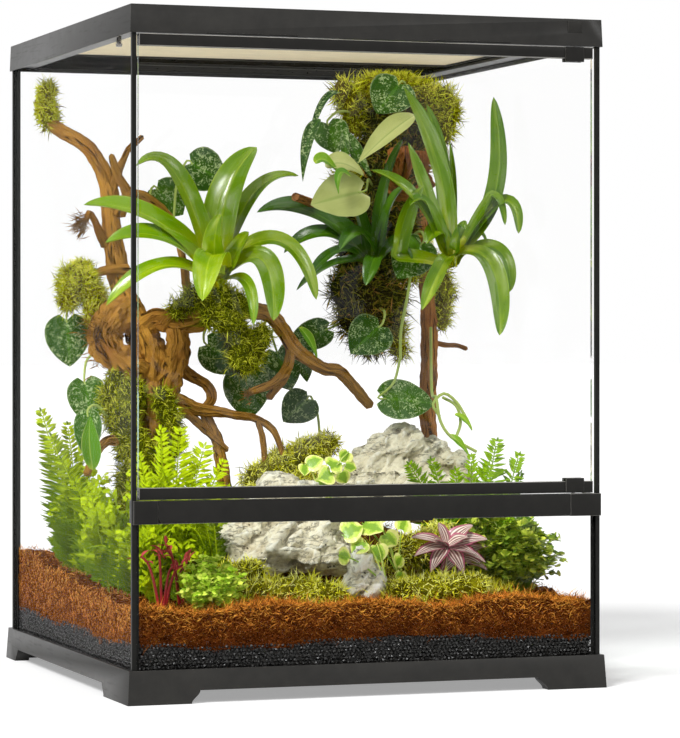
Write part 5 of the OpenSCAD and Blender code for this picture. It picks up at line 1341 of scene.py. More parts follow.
class TERRARIUM_OT_pellets(PieceOperator, bpy.types.Operator):
    """Fills the lowest layer with round clay pellets behind the four panes"""
    bl_idname = "terrarium.pellets"
    bl_label = "Clay pellets"

    half = INNER - 0.2         # half width of the layer, mm
    lowest = 27.5              # height of the lowest row of beads, mm
    rows, apart, rise = 8, 0.93, 0.84        # rows, and their spacing as a share of a bead

    def execute(self, context):
        ground = context.scene.ground_settings
        rng = np.random.default_rng(11)
        heap, bead = Heap(), ground.bead / MM
        heap.slab(self.half - 2.6, 61, lambda x, y: (layer_line(x, y) - 2.5, FLOOR_TOP + 0.05), 0.1)
        edge = self.half - bead / 2
        count = int(2 * self.half / (bead * self.apart))
        seats = []
        for layer in range(2):
            for row in range(self.rows):
                for side in range(4):
                    t = ((np.arange(count) + 0.5 * (row % 2) + 0.3 * layer) * bead * self.apart
                         - self.half + bead / 2)
                    t = t[np.abs(t) < edge]
                    t = t + rng.normal(0, 0.25, len(t))
                    depth = edge - layer * bead * 0.75 - rng.random(len(t)) * 0.5
                    x, y = behind_pane(side, t, depth)
                    z = self.lowest + row * bead * self.rise + rng.normal(0, 0.3, len(t))
                    if layer == 0 or row > 5:
                        seats.append(np.stack([x, y, z], -1)[z < layer_line(x, y) + 1.2])
        p = np.concatenate(seats)
        p[:, :2] = np.clip(p[:, :2], -edge, edge)
        self.beads(heap, p, bead / 2 * rng.uniform(0.86, 1.06, len(p)), rng)
        m = grains("Clay pellets", shade(ground.pellet), shade(ground.pellet, 5.0), 0.34, 0.3)
        dress(heap.piece("clay_pellets"), m, "clay_pellets", "drainage_layer")
        return {"FINISHED"}

    def beads(self, heap, p, r, rng):
        """Small balls at p with radii r, each turned its own way."""
        k = len(p)
        turn = rows_unit(rng.normal(size=(k, 3)))
        side = rows_unit(np.cross(turn, rng.normal(size=(k, 3))))
        other = np.cross(turn, side)
        t = np.cos(np.linspace(np.pi, 0, 5))
        path = p[:, None] + turn[:, None] * t[None, :, None] * r[:, None, None]
        a = np.linspace(0, 2 * np.pi, 6, endpoint=False)
        w = np.sqrt(1 - t[1:-1] ** 2)
        ring = path[:, 1:-1, None] + ((side[:, None, None] * np.cos(a)[None, None, :, None]
                                       + other[:, None, None] * np.sin(a)[None, None, :, None])
                                      * w[None, :, None, None] * r[:, None, None, None])
        heap.closed(path, ring, rng.random(k) * 0.9, a / 6.3)


class TERRARIUM_OT_fibre(PieceOperator, bpy.types.Operator):
    """Lays the coconut fibre over the pellets, with loose threads on top and behind the panes"""
    bl_idname = "terrarium.fibre"
    bl_label = "Coconut fibre"

    gap = 0.4                  # gap between the threads and the glass, mm

    def execute(self, context):
        ground = context.scene.ground_settings
        rng = np.random.default_rng(23)
        wet, dry = ground.wet, ground.dry
        bed = Heap()
        bed.slab(INNER - 1.4, 121, self.heights, 0.5)
        dress(bed.piece("fibre_bed"), earth("Damp fibre", shade(wet, 0.5), shade(wet, 1.5)),
              "coco_fibre", "substrate")
        loose = threads_material("Fibre threads", (
            (0.0, shade(wet, 0.3)), (0.3, shade(wet)), (0.55, shade(dry, 0.45)), (0.85, shade(dry)),
            (1.0, shade(dry, 1.35))), 0.7)
        share = ground.threads // 10
        for name, fill in (("fibre_threads", self.behind_glass),
                           ("fibre_top_threads", self.on_top)):
            heap = Heap()
            fill(heap, share, rng, INNER - self.gap)
            heap.keep_within(self.gap, FLOOR_TOP + 5, np.inf)
            dress(heap.piece(name), loose, "coco_fibre")
        return {"FINISHED"}

    def heights(self, x, y):
        """Top and bottom of the fibre's solid mass."""
        bumps = (1.6 * np.sin(0.11 * x + 0.7 * np.sin(0.09 * y)) * np.sin(0.13 * y + 1.3)
                 + 0.9 * np.sin(0.31 * x + 0.4 * np.sin(0.2 * y)) * np.sin(0.27 * y + 1.3)
                 + 0.5 * np.sin(0.7 * x + 0.5 * y))
        return soil_height(x, y) - 1.2 + bumps, layer_line(x, y) - 2.0

    def behind_glass(self, heap, share, rng, half):
        """Threads lying along each pane, most of them behind the front."""
        for side, count in enumerate((4 * share, 3 * share, 2 * share, share)):
            t = rng.uniform(-half + 1, half - 1, count)
            x, y = behind_pane(side, t, half - rng.uniform(0.2, 1.6, count))
            low, high = layer_line(x, y) - 1.5, soil_height(x, y) + 1.2
            f = rng.random(count) ** 0.95
            p = np.stack([x, y, low + (high - low) * f], -1)
            run = np.array([1, 0, 0] if side in (0, 2) else [0, 1, 0])
            way = (run * rng.choice([-1, 1], count)[:, None]
                   + UP * rng.normal(0, 0.8, count)[:, None])
            length = np.minimum(rng.gamma(2.4, 1.5, count) + 1.6, half + 1 - np.abs(t))
            clumps = 0.5 + 0.5 * np.sin(0.11 * t + 0.23 * p[:, 2] + 1.7 * np.sin(0.05 * t + side))
            # Lower threads are darker, and threads behind the left and right panes are lighter as
            # painted light from the sides.
            tint = rng.random(count) ** 1.7 * (0.8 + 0.45 * f) + 0.2 * clumps * f ** 2
            tint = tint * np.clip(0.45 + 0.8 * f ** 1.5, 0, 1) + (0.4 if side in (1, 3) else 0.0)
            strands(heap, p, way, length, rng.uniform(0.35, 0.95, count), np.clip(tint, 0, 1),
                    0.4, rng)

    def on_top(self, heap, share, rng, half):
        """Threads lying on the ground, half of them in the strip behind the front pane."""
        count, front = 8 * share, 4 * share
        x, y = rng.uniform(-half + 6, half - 6, (2, count))
        y[:front] = -half + 3 + 34 * rng.random(front) ** 1.5
        p = np.stack([x, y, soil_height(x, y) + 0.2], -1)
        way = rng.normal(size=(count, 3)) * [1, 1, 0.4] + UP * 0.3
        strands(heap, p, way, rng.gamma(2.4, 1.8, count) + 2, rng.uniform(0.45, 1.0, count),
                np.clip(0.25 + 0.85 * rng.random(count), 0, 1), 0.5, rng)


class TERRARIUM_OT_rocks(PieceOperator, bpy.types.Operator):
    """Breaks up the faces of the three rocks and gives them pits and streaks"""
    bl_idname = "terrarium.rocks"
    bl_label = "Rocks"

    relief = (("CLOUDS", 26, 9.0), ("MUSGRAVE", 24, -6.0), ("VORONOI", 8, 4.0),
              ("VORONOI", 3.2, 2.0), ("CLOUDS", 2.4, 1.8))

    def execute(self, context):
        ground = context.scene.ground_settings
        dark, light = ground.rock_dark, ground.rock_light
        grey = stone("Pitted stone", shade(dark), shade(light), (0.07, 0.055, 0.03))
        pale = stone("Pale stone", shade(dark, 1.2), shade(light, 1.15), (0.1, 0.095, 0.08))
        for node, m, slot in (("rock_large", grey, "stone"), ("rock_front", grey, "stone"),
                              ("rock_small", pale, "pale_stone")):
            dress(lumped(node, node + "_faces", 1.6, *self.relief), m, slot, node)
        return {"FINISHED"}


# ---------------------------------------------------------------- the wood

class TERRARIUM_OT_root_wood(PieceOperator, bpy.types.Operator):
    """Grows the twisted root wood with its ridges, knots and frayed ends, and the upright post"""
    bl_idname = "terrarium.root_wood"
    bl_label = "Root wood and post"

    # place, direction, spread, number and length of the torn fibres on knots and broken ends
    splinters = (([-176, 54, 324], [-0.8, -0.2, 0.3], 9, 160, 15),
                 ([-166, 52, 306], [-0.7, -0.5, 0.1], 12, 150, 13),
                 ([-183, 82, 432], [-0.9, -0.1, -0.5], 4, 90, 17),
                 ([-184, 82, 370], [-0.3, 0, -1], 3, 50, 12),
                 ([-206, 148, 548], [-0.3, 0, 1], 4, 40, 9),
                 ([-40, 8, 268], [-0.9, -0.1, -0.4], 3, 40, 9))

    def execute(self, context):
        plants = context.scene.plant_settings
        rng = np.random.default_rng(31)
        heap = Heap()
        for i, (limb, sides, rough) in enumerate(((BRANCH, 20, 0.12), (TRUNK, 30, 0.3),
                                                  (KNOTS, 28, 0.34), (LIMB, 22, 0.14),
                                                  (FRONT_STEM, 24, 0.28))):
            tube(heap, limb, sides, 0.5, 2.0, rough, 2 + i % 2, 1.7 * i)
        for i, root in enumerate(ROOTS):
            tube(heap, root, 14, 0.3 + 0.5 * rng.random(), 2.0, 0.2, 2, 0.9 * i + 4)
        for place, way, spread, count, length in self.splinters:
            base = np.array(place) + rng.normal(0, spread, (count, 3)) * [0.6, 0.6, 1]
            ways = np.array(way) + rng.normal(0, 0.45, (count, 3))
            strands(heap, base, ways, rng.uniform(0.5, 1.2, count) * length,
                    rng.uniform(0.8, 2.0, count), 0.1 + 0.6 * rng.random(count), 0.3, rng)
        m = bark("Root wood", shade(plants.wood_dark), shade(plants.wood_mid),
                 shade(plants.wood_light), (0.3, 0.08, 0.022))
        dress(heap.piece("root_wood_limbs"), m, "root_wood", "root_wood")
        heap = Heap()
        tube(heap, POST, 24, 0.4, 2.0, 0.16, 4, 0.6)
        tube(heap, POST_TWIG, 10, 0.2, 2.0, 0.2, 2, 2.0)
        m = bark("Post wood", (0.035, 0.014, 0.005), (0.26, 0.09, 0.02), (0.62, 0.27, 0.07),
                 (0.3, 0.08, 0.018))
        dress(heap.piece("post_limb"), m, "post_wood", "wood_post")
        return {"FINISHED"}


class TERRARIUM_OT_moss(PieceOperator, bpy.types.Operator):
    """Covers the wood, the hanging clump and the ground with moss threads"""
    bl_idname = "terrarium.moss"
    bl_label = "Moss and hanging clump"

    spare = 1.7                # places drawn for each thread that is wanted
    sunk = 1.5                 # places deeper than this in another clod are left out, mm

    def execute(self, context):
        gold = threads_material("Bright moss", (
            (0.0, (0.06, 0.035, 0.003)), (0.25, (0.26, 0.22, 0.006)),
            (0.6, shade(context.scene.plant_settings.moss)), (1.0, (1.0, 0.93, 0.12))))
        deep = threads_material("Green moss", (
            (0.0, (0.03, 0.03, 0.003)), (0.25, (0.13, 0.15, 0.004)), (0.6, (0.44, 0.48, 0.01)),
            (1.0, (0.9, 0.88, 0.08))))
        sunny = threads_material("Ground moss", (
            (0.0, (0.04, 0.04, 0.003)), (0.25, (0.22, 0.2, 0.006)), (0.55, (1.0, 0.98, 0.03)),
            (1.0, (1.0, 1.0, 0.35))))
        brown = threads_material("Dark root fibre", (
            (0.0, (0.01, 0.008, 0.003)), (0.3, (0.045, 0.035, 0.008)), (0.55, (0.14, 0.13, 0.014)),
            (0.8, (0.34, 0.34, 0.02)), (1.0, (0.6, 0.28, 0.06))), 0.85)
        self.cushion("moss_top", MOSS_TOP, 16000, 9, gold, "bright_moss", 51)
        self.cushion("moss_branch", MOSS_BRANCH, 8500, 7, gold, "bright_moss", 52)
        self.cushion("moss_trunk", MOSS_TRUNK, 17500, 7, deep, "green_moss", 53)
        self.cushion("moss_ground", MOSS_GROUND, 18000, 7, sunny, "green_moss", 54, core=0.7,
                     lie=0.9, carpet=8000)
        self.cushion("epiphyte_core", CLUMP, 19000, 11, brown, "dark_fibre", 55, core=0.8,
                     lie=0.5, chips=260)
        self.bark_chunk()
        return {"FINISHED"}

    def bark_chunk(self):
        """The gnarled orange bark in the clump, and the sawn stick that carries it."""
        heap = Heap()
        for i, limb in enumerate(CHUNK):
            tube(heap, [[x, y, z, 0.75 * r] for x, y, z, r in limb], 26, 0.3 + 0.1 * i, 1.2, 0.7, 3,
                 1.3 * i)
        tube(heap, SAWN_STICK, 16, 0.9, 2.0, 0.08, 2, 0.5, blunt=True)
        m = bark("Orange bark", (0.03, 0.008, 0.002), (0.26, 0.07, 0.014), (0.6, 0.24, 0.06),
                 (0.3, 0.05, 0.01))
        dress(heap.piece("bark_chunk"), m, "dark_fibre")

    def carpet(self, heap, count, rng):
        """Low moss on the fibre: a strip behind the front pane and a patch at the right."""
        x, y = rng.uniform(-150, 150, count), -INNER + 20 + 50 * rng.random(count) ** 1.3
        patch = count // 4
        x[:patch], y[:patch] = rng.uniform(40, 200, patch), rng.uniform(-130, -60, patch)
        edge = 8 * np.sin(0.07 * x + 1.0) + 5 * np.sin(0.19 * x)
        grown = y > -INNER + 30 + edge
        x, y = x[grown], y[grown]
        k = len(x)
        strands(heap, np.stack([x, y, soil_height(x, y) + 0.5], -1),
                UP + rng.normal(0, 0.6, (k, 3)), rng.gamma(3.0, 2.4, k) + 2,
                rng.uniform(0.7, 1.6, k), np.clip(rng.beta(2.2, 1.8, k), 0.1, 1), 0.5, rng)

    def cushion(self, node, clods, count, length, m, slot, seed, core=0.84, lie=0.75, carpet=0,
                chips=0):
        """Threads all over a row of clods, each with a plain core, dark as painted shade, that they
        grow from.
        """
        rng = np.random.default_rng(seed)
        heap = Heap()
        core_of(heap, clods, core)
        if carpet:
            self.carpet(heap, carpet, rng)
        p, out, pick = clod_points(clods, int(count * self.spare), rng, core * 0.98)
        inner = [(a, b, core * ra, core * rb) for a, b, ra, rb in clods]
        free = np.where(~in_clods(p, inner, pick, self.sunk))[0][:count]
        p, out = p[free], out[free]
        k = len(p)
        way = out * lie + rng.normal(0, 0.75, (k, 3)) + UP * 0.12
        lo = np.array([-INNER, -INNER, MOSS_ROOM[0]])
        hi = np.array([INNER, INNER, MOSS_ROOM[1]])
        reach = rng.gamma(4.0, length / 5.0, k)
        tip = p + rows_unit(way) * reach[:, None]
        over = np.maximum(0, np.maximum(lo - tip, tip - hi)).max(axis=1)
        reach = np.maximum(2.0, reach - over * 1.3)
        # Painted light: threads that point up or to the front are lighter.
        tint = np.clip(rng.beta(2.2, 2.2, k) + 0.16 * out[:, 2] + 0.1 * out[:, 1] * -1, 0.02, 1)
        strands(heap, p, way, reach, rng.uniform(0.7, 1.7, k), tint, 0.5, rng)
        if chips:
            a, o, _ = clod_points(clods, chips, rng, core)
            strands(heap, a, o * 0.3 + rng.normal(0, 1, (chips, 3)), rng.uniform(6, 18, chips),
                    rng.uniform(2.0, 6.0, chips), 0.8 + 0.2 * rng.random(chips), 0.15, rng)
        heap.keep_within(0, *MOSS_ROOM)
        dress(heap.piece(node + "_threads"), m, slot, node)


# ---------------------------------------------------------------- the plants

def planted(heap, name, m, slot, node, smooth=50):
    """Keeps a plant inside the glass and makes its finished piece."""
    heap.keep_within(PLANT_GAP, *PLANT_ROOM)
    dress(heap.piece(name, smooth), m, slot, node)


class TERRARIUM_OT_bromeliads(PieceOperator, bpy.types.Operator):
    """Grows the three rosettes of arching strap leaves"""
    bl_idname = "terrarium.bromeliads"
    bl_label = "Bromeliads"

    def execute(self, context):
        plants = context.scene.plant_settings
        lime = leaf_material("Lime strap leaf", shade(plants.lime_dark), shade(plants.lime_light),
                             shade(plants.lime_base), (0.6, 0.72, 0.04), 0.25, 1.0, 0.12,
                             Reach=0.5, Rib=0.3, Rim=0.35, Fold=0.35, Patch=0.75)
        green = leaf_material("Green strap leaf", (0.06, 0.18, 0.001), (0.54, 0.7, 0.003),
                              (0.7, 0.7, 0.006), (0.42, 0.6, 0.05), 0.25, 1.0, 0.14,
                              Reach=0.35, Rib=0.3, Rim=0.35, Fold=0.5, Patch=0.7)
        dark = leaf_material("Dark strap leaf", shade(plants.deep_dark), shade(plants.deep_light),
                             (0.24, 0.4, 0.01), (0.18, 0.36, 0.03), 0.25, 1.0, 0.14,
                             Reach=0.3, Rib=0.4, Rim=0.2, Fold=0.45, Patch=0.5)
        for node, leaves, heart, seed, m, slot in (
                ("bromeliad_left", LEFT_LEAVES, (-78, -8, 374), 25, lime, "bromeliad_lime"),
                ("bromeliad_right", RIGHT_LEAVES, (152, -32, 394), 26, green, "bromeliad_green"),
                ("bromeliad_middle", MIDDLE_LEAVES, (84, 12, 392), 20, dark, "dark_leaf")):
            heap = Heap()
            self.rosette(heap, leaves, np.array(heart, float), WIDER * plants.strap / MM,
                         np.random.default_rng(seed))
            if node == "bromeliad_right":
                tube(heap, HOLDING_ROOT, 10, 0.2, 4, 0.1)
            dress(heap.piece(node + "_leaves", 60), m, slot, node)
        return {"FINISHED"}

    def rosette(self, heap, leaves, heart, wide, rng):
        """Leaves that start at the heart, run up to their own foot and arch from there."""
        for *points, width, roll in leaves:
            a, b, c = (np.array(p, float) for p in points)
            line = bezier(a, b, c, 30)
            foot = bezier(heart + [0, 0, -6], (heart + a) / 2 + [0, 0, 2], a, 7)[:-1]
            line = through(np.vstack([foot[::3], line[::2], line[-1:]]), 5.0)
            blade(heap, shares(line, np.linspace(0, 1, 34)), width * wide, roll,
                  0.3 + 0.5 * rng.random(), strap_outline, fold=0.17, thick=0.8, cols=11,
                  ripple=0.6, turn=0.62)


class TERRARIUM_OT_hanging_leaves(PieceOperator, bpy.types.Operator):
    """Hangs the heart-shaped silver-flecked leaves on their stems"""
    bl_idname = "terrarium.hanging_leaves"
    bl_label = "Hanging heart leaves"

    def execute(self, context):
        flecks = shade(context.scene.plant_settings.silver)
        silver = silver_leaf_material("Silver-flecked leaf", (0.012, 0.055, 0.003),
                                      (0.07, 0.19, 0.008), flecks)
        pale = leaf_material("Pale veined leaf", (0.4, 0.46, 0.13), (0.74, 0.76, 0.32),
                             (0.8, 0.8, 0.42), (0.3, 0.42, 0.1), 0.5, 0.2, 0.1,
                             Reach=0.1, Rib=0.7, Rim=0.1, Fold=0.3, Patch=0.35)
        lime = leaf_material("Lime-rimmed leaf", (0.1, 0.3, 0.004), (0.4, 0.62, 0.02),
                             (0.5, 0.66, 0.04), (0.75, 0.85, 0.16), 0.3, 0.0, 0.2,
                             Reach=0.2, Rib=0.5, Rim=0.9, Fold=0.7)
        vine = leaf_material("Vine stem", (0.24, 0.36, 0.05), (0.6, 0.7, 0.2), (0.4, 0.5, 0.1),
                             (0.6, 0.7, 0.2), 0.45, 0.0, 0.1, Reach=0.1, Rib=0.1, Rim=0.1, Fold=0.2)
        stems = Heap()
        for node, hearts in (("pothos_left", HEARTS_LEFT), ("pothos_centre", HEARTS_CENTRE),
                             ("pothos_top", HEARTS_TOP)):
            heap = Heap()
            self.hearts(heap, hearts, stems)
            dress(heap.piece(node + "_leaves", 50), silver, "silver_leaf", node)
        heap = Heap()
        self.narrow(heap, PALE_BLADES, 24, 0.5, lambda i: 0.7)
        self.hearts(heap, PALE_HEARTS, stems)
        dress(heap.piece("pothos_top_pale_leaves", 50), pale, "silver_leaf")
        for line in (LONG_STEM, *TRAILING):
            tube(stems, [[*p, 1.5] for p in line], 7, 0.7, 4.0)
        dress(stems.piece("hanging_stems"), vine, "silver_leaf")
        for name, leaves, m in (("narrow_dark_leaves", DARK_BLADES, silver),
                                ("lime_leaves", [OVAL_LEAF, *LIME_BLADES], lime)):
            heap = Heap()
            self.narrow(heap, leaves, 22, 0.4, lambda i: (0.3 * i) % 1.0)
            dress(heap.piece(name, 50), m, "silver_leaf")
        return {"FINISHED"}

    def narrow(self, heap, leaves, n, ripple, tint):
        """Narrow leaves, each from three points and a width."""
        for i, (a, b, c, width) in enumerate(leaves):
            blade(heap, bezier(a, b, c, n), width, 0, tint(i), fold=0.2, ripple=ripple, turn=0.7)

    def hearts(self, heap, hearts, stems):
        """Heart-shaped leaves, each with its stalk in the stems."""
        rng = np.random.default_rng(len(hearts) + 70)
        for a, c, width, stalk in hearts:
            a, c = np.array(a, float), np.array(c, float)
            heart_leaf(heap, a, c, width * WIDER, 0.3 + 0.6 * rng.random(),
                       cup=rng.uniform(0.03, 0.14), droop=rng.uniform(0.0, 0.14))
            line = [[*p, 1.3] for p in stalk] + [[*a, 1.1], [*(a + 0.14 * (c - a)), 0.8]]
            tube(stems, line, 7, 0.9 * rng.random(), 4.0)


class TERRARIUM_OT_ferns(PieceOperator, bpy.types.Operator):
    """Grows the fern fronds with their rows of small lobed leaflets"""
    bl_idname = "terrarium.ferns"
    bl_label = "Ferns"

    # distance between leaflets and their width, mm, in tufts, upright and loose fronds
    tufted, upright, loose = (5.2, 4.6), (3.3, 3.3), (5.8, 5.0)
    toothed = 4                # leaflets at least this wide have side teeth, mm
    foot_gap, tip_gap = 24, (2, 22)      # gap between a loose frond and the glass, mm

    def execute(self, context):
        bright = leaf_material("Fern green", (0.02, 0.09, 0.001), (0.68, 0.86, 0.008),
                               (0.3, 0.42, 0.01), (0.7, 0.8, 0.05), 0.5, 0.0, 0.03,
                               Reach=0.25, Rib=0.3, Rim=0.1, Fold=0.15)
        deep = leaf_material("Deep fern green", (0.02, 0.1, 0.001), (0.36, 0.6, 0.012),
                             (0.2, 0.36, 0.01), (0.4, 0.6, 0.05), 0.5, 0.0, 0.03,
                             Reach=0.25, Rib=0.3, Rim=0.1, Fold=0.15)
        for node, m, slot, seed in (("fern_left", bright, "fern_green", 81),
                                    ("fern_front", bright, "fern_deep", 82),
                                    ("fern_right", deep, "fern_green", 83)):
            rng = np.random.default_rng(seed)
            heap = Heap()
            for tuft in TUFTS[node]:
                for line, width, _ in tuft_lines(tuft, 40):
                    self.frond(heap, line, width, rng, 0.25 + 0.5 * rng.random(), self.tufted)
            for foot, tip, width, tone in UPRIGHT[node]:
                foot, tip = np.array(foot, float), np.array(tip, float)
                mid = (foot + tip) / 2 + [0, 0, 0.2 * (tip[2] - foot[2])]
                self.frond(heap, bezier(foot, mid, tip, 40), 1.3 * width, rng, tone, self.upright)
            for place, spread, count, *sizes in BUSHY[node]:
                for _ in range(count):
                    self.loose_frond(heap, place, spread, sizes, rng)
            planted(heap, node + "_fronds", m, slot, node, 42)
        return {"FINISHED"}

    def loose_frond(self, heap, place, spread, sizes, rng):
        """One arching frond from somewhere near a place, kept off the glass."""
        length, width, rise, tone = sizes
        a = rng.uniform(0, 2 * np.pi)
        share = rng.uniform(0.3, 1.0)
        foot = np.array([*(np.array(place) + rng.uniform(-1, 1, 2) * spread), 0.0])
        foot[:2] = np.clip(foot[:2], -INNER + self.foot_gap, INNER - self.foot_gap)
        foot[2] = soil_height(foot[0], foot[1]) - 2
        end = foot + [math.cos(a) * length * share, math.sin(a) * length * share,
                      rise * rng.uniform(0.5, 1.0) * (1.25 - 0.8 * share)]
        edge = INNER - rng.uniform(*self.tip_gap)
        end[:2] = np.clip(end[:2], -edge, edge)
        mid = foot * 0.62 + end * 0.38
        mid[2] = foot[2] + 1.2 * (end[2] - foot[2]) + 26 * share
        # Painted light: fronds that rise higher are lighter.
        lit = tone + 0.7 * (end[2] - foot[2]) / rise - 0.45 + rng.normal(0, 0.3)
        self.frond(heap, bezier(foot, mid, end, 40), width * rng.uniform(0.8, 1.3), rng, lit,
                   self.loose)

    def frond(self, heap, line, width, rng, tone, leaflet):
        """A stem with pairs of long leaflets, the broad ones toothed, with painted shade darker at
        its foot and lower down.
        """
        step, lobe = leaflet
        count = max(9, int(distance(line)[-1] / step))
        t = np.linspace(0.12, 0.985, count) + rng.uniform(-0.3, 0.3, count) / count
        p = shares(line, t)
        way = rows_unit(np.gradient(p, axis=0))
        facing = FRONT + rng.normal(0, 0.6, 3) + UP * 0.6
        lift = rows_unit(facing - way * (way @ facing)[:, None])
        side = np.cross(way, lift)
        reach = (width * 0.7 * np.clip(5.0 * t, 0.4, 1.0) * np.clip(1.12 - t, 0, 1) ** 0.8
                 * rng.uniform(0.8, 1.1, count) + 1.2)
        tube(heap, [[*q, 0.6] for q in line[::6]], 4, 0.9, 7.0)
        for sign in (-1, 1):
            out = side * sign + way * 0.5 + rng.normal(0, 0.16, (count, 3))
            # Painted shade: leaflets are darker towards the frond's foot and lower down.
            lit = tone + 0.7 * (t - 0.6) + 0.006 * (p[:, 2] - 150)
            tint = np.clip(lit + rng.normal(0, 0.16, count), 0, 1)
            leaflets(heap, p, out, lift, reach, lobe, tint, (1.0, 0.65))
            if lobe < self.toothed:
                continue
            for f, g in ((0.2, 0.4), (0.5, 0.34)):
                sag = (0.14 * reach * f * f)[:, None]
                q = p + rows_unit(out) * (reach * f)[:, None] - lift * sag
                leaflets(heap, q, way + out * 0.7, lift, reach * g, 2.8,
                         np.clip(tint + 0.08, 0, 1), (1.0,))
                leaflets(heap, q, -way + out * 0.8, lift, reach * g * 0.85, 2.6,
                         np.clip(tint - 0.08, 0, 1), (1.0,))
        leaflets(heap, line[-2:-1], (line[-1] - line[-3])[None], lift[-1:], 5.0, 2.2,
                 min(1.0, max(0.0, tone)), (0.75, 1.0, 0.7))


class TERRARIUM_OT_ground_plants(PieceOperator, bpy.types.Operator):
    """Plants the small leaves along the front: button leaves, ivy, striped leaves and red stems"""
    bl_idname = "terrarium.ground_plants"
    bl_label = "Ground plants"

    # leaf length and width in mm, leaves on a stem, stems for each leaf of the tuft, and how
    # much wider and taller the bush is than its tuft
    right = dict(length=8.0, width=7.4, count=17, stems=11, spread=1.5, tall=2.3)
    low = dict(length=5.2, width=4.6, count=26, stems=10, spread=1.35, tall=1.85)
    heart_drop, tip_drop = 6, 13         # how far the stars stand below their table, mm

    def execute(self, context):
        button = leaf_material("Button leaf", (0.03, 0.16, 0.003), (0.95, 1.0, 0.12),
                               (0.35, 0.55, 0.02), (0.5, 0.7, 0.1), 0.42, 0.0, 0.12,
                               Reach=0.1, Rib=0.3, Rim=0.4, Fold=0.3)
        small = leaf_material("Small bright leaf", (0.3, 0.6, 0.004), (1.0, 1.0, 0.2),
                              (0.7, 0.9, 0.02), (0.7, 0.85, 0.06), 0.45, 0.0, 0.08,
                              Reach=0.1, Rib=0.3, Rim=0.1, Fold=0.2)
        red = leaf_material("Red stem leaf", (0.14, 0.012, 0.008), (1.0, 0.13, 0.14),
                            (0.6, 0.015, 0.03), (0.9, 0.2, 0.2), 0.4, 0.0, 0.12,
                            Reach=0.2, Rib=0.5, Rim=0.1, Fold=0.2)
        ivy = variegated_material("Cream-edged leaf", (0.22, 0.42, 0.01), (0.6, 0.8, 0.08),
                                  (0.95, 0.96, 0.3))
        stripes = striped_leaf_material("Striped leaf", (0.3, 0.14, 0.12), (0.95, 0.8, 0.7),
                                        (0.5, 0.06, 0.16))
        for node, m, slot, seed, grow, values in (
                ("bush_right", button, "bush_green", 91, self.bush, self.right),
                ("ground_bush", small, "lime_bush", 92, self.bush, self.low),
                ("ivy_front", ivy, "variegated_leaf", 93, self.rounds, {}),
                ("tradescantia", stripes, "purple_leaf", 94, self.stars, {}),
                ("red_stems", red, "red_stem", 95, self.stems, {})):
            heap = Heap()
            grow(heap, TUFTS[node], np.random.default_rng(seed), **values)
            planted(heap, node + "_plants", m, slot, node)
        return {"FINISHED"}

    def bush(self, heap, tufts, rng, length, width, count, stems, spread, tall):
        """Thin stems set all along with small rounded leaves."""
        for p, n, reach, _, rise, *_ in tufts:
            p = np.array(p, float)
            for _ in range(n * stems):
                a, r = rng.uniform(0, 2 * np.pi), reach * spread * rng.uniform(0.1, 0.66)
                out = np.array([math.cos(a), math.sin(a), 0])
                h = rise * tall * rng.uniform(0.3, 1.0) * (1.1 - 0.5 * r / (reach * spread))
                line = bezier(p + out * 2 - UP * 4, p + out * r * 0.5 + UP * h,
                              p + out * r + UP * h * 0.8, 16)
                tube(heap, [[*q, 0.4] for q in line[::5]], 5, 0.2, 5.0)
                t = np.sort(rng.uniform(0.25, 1.0, count))
                q = np.stack([np.interp(t * 15, np.arange(16), line[:, i]) for i in range(3)], -1)
                way = rng.normal(size=(count, 3)) * [1, 1, 0.4] + UP * 0.25
                lift = UP + rng.normal(0, 0.45, (count, 3))
                leaflets(heap, q, way, lift, length * rng.uniform(0.7, 1.15, count),
                         width * rng.uniform(0.75, 1.15, count),
                         np.clip(rng.normal(0.6, 0.28, count), 0, 1), (0.8, 1.0, 0.8), fold=0.12)

    def rounds(self, heap, tufts, rng):
        """Rounded leaves with wavy cream edges, each on its own stalk from the nearest tuft."""
        feet = [np.array(t[0], float) for t in tufts]
        for *place, width in IVY:
            mid = np.array(place, float)
            foot = min(feet, key=lambda f: np.linalg.norm(f - mid))
            way = rows_unit(rng.normal(size=3) * [1, 0.3, 0.8] - UP * 0.4)
            a, c = mid - way * width * 0.5, mid + way * width * 0.5
            heart_leaf(heap, a, c, width * rng.uniform(1.0, 1.2), rng.random(),
                       cup=rng.uniform(-0.1, 0.2),
                       face=(-0.33 + rng.normal(0, 0.3), -0.9, 0.3 + rng.normal(0, 0.3)),
                       droop=rng.uniform(0, 0.2), rows=15, cols=9)
            stalk = [[*foot, 0.9], [*(foot * 0.4 + a * 0.6 + UP * 5), 0.8], [*a, 0.6]]
            tube(heap, stalk, 5, 0.8, 4.0)

    def stars(self, heap, _, rng):
        """Long striped leaves spreading from each heart like a star."""
        for foot, tips in STARS:
            heart = np.array(foot, float) - UP * self.heart_drop
            tube(heap, [[heart[0] - 4, heart[1] + 6, soil_height(heart[0], heart[1]) - 2, 1.8],
                        [*(heart - UP * 10), 1.6], [*heart, 1.2]], 7, 0.7, 4.0)
            for tip, width in tips:
                tip = np.array(tip, float) - UP * self.tip_drop
                mid = heart * 0.5 + tip * 0.5 + UP * 0.16 * np.linalg.norm(tip - heart)
                blade(heap, bezier(heart, mid, tip, 22), 1.3 * width, rng.uniform(-15, 15),
                      rng.random(), fold=0.12, ripple=0.3, turn=0.5)

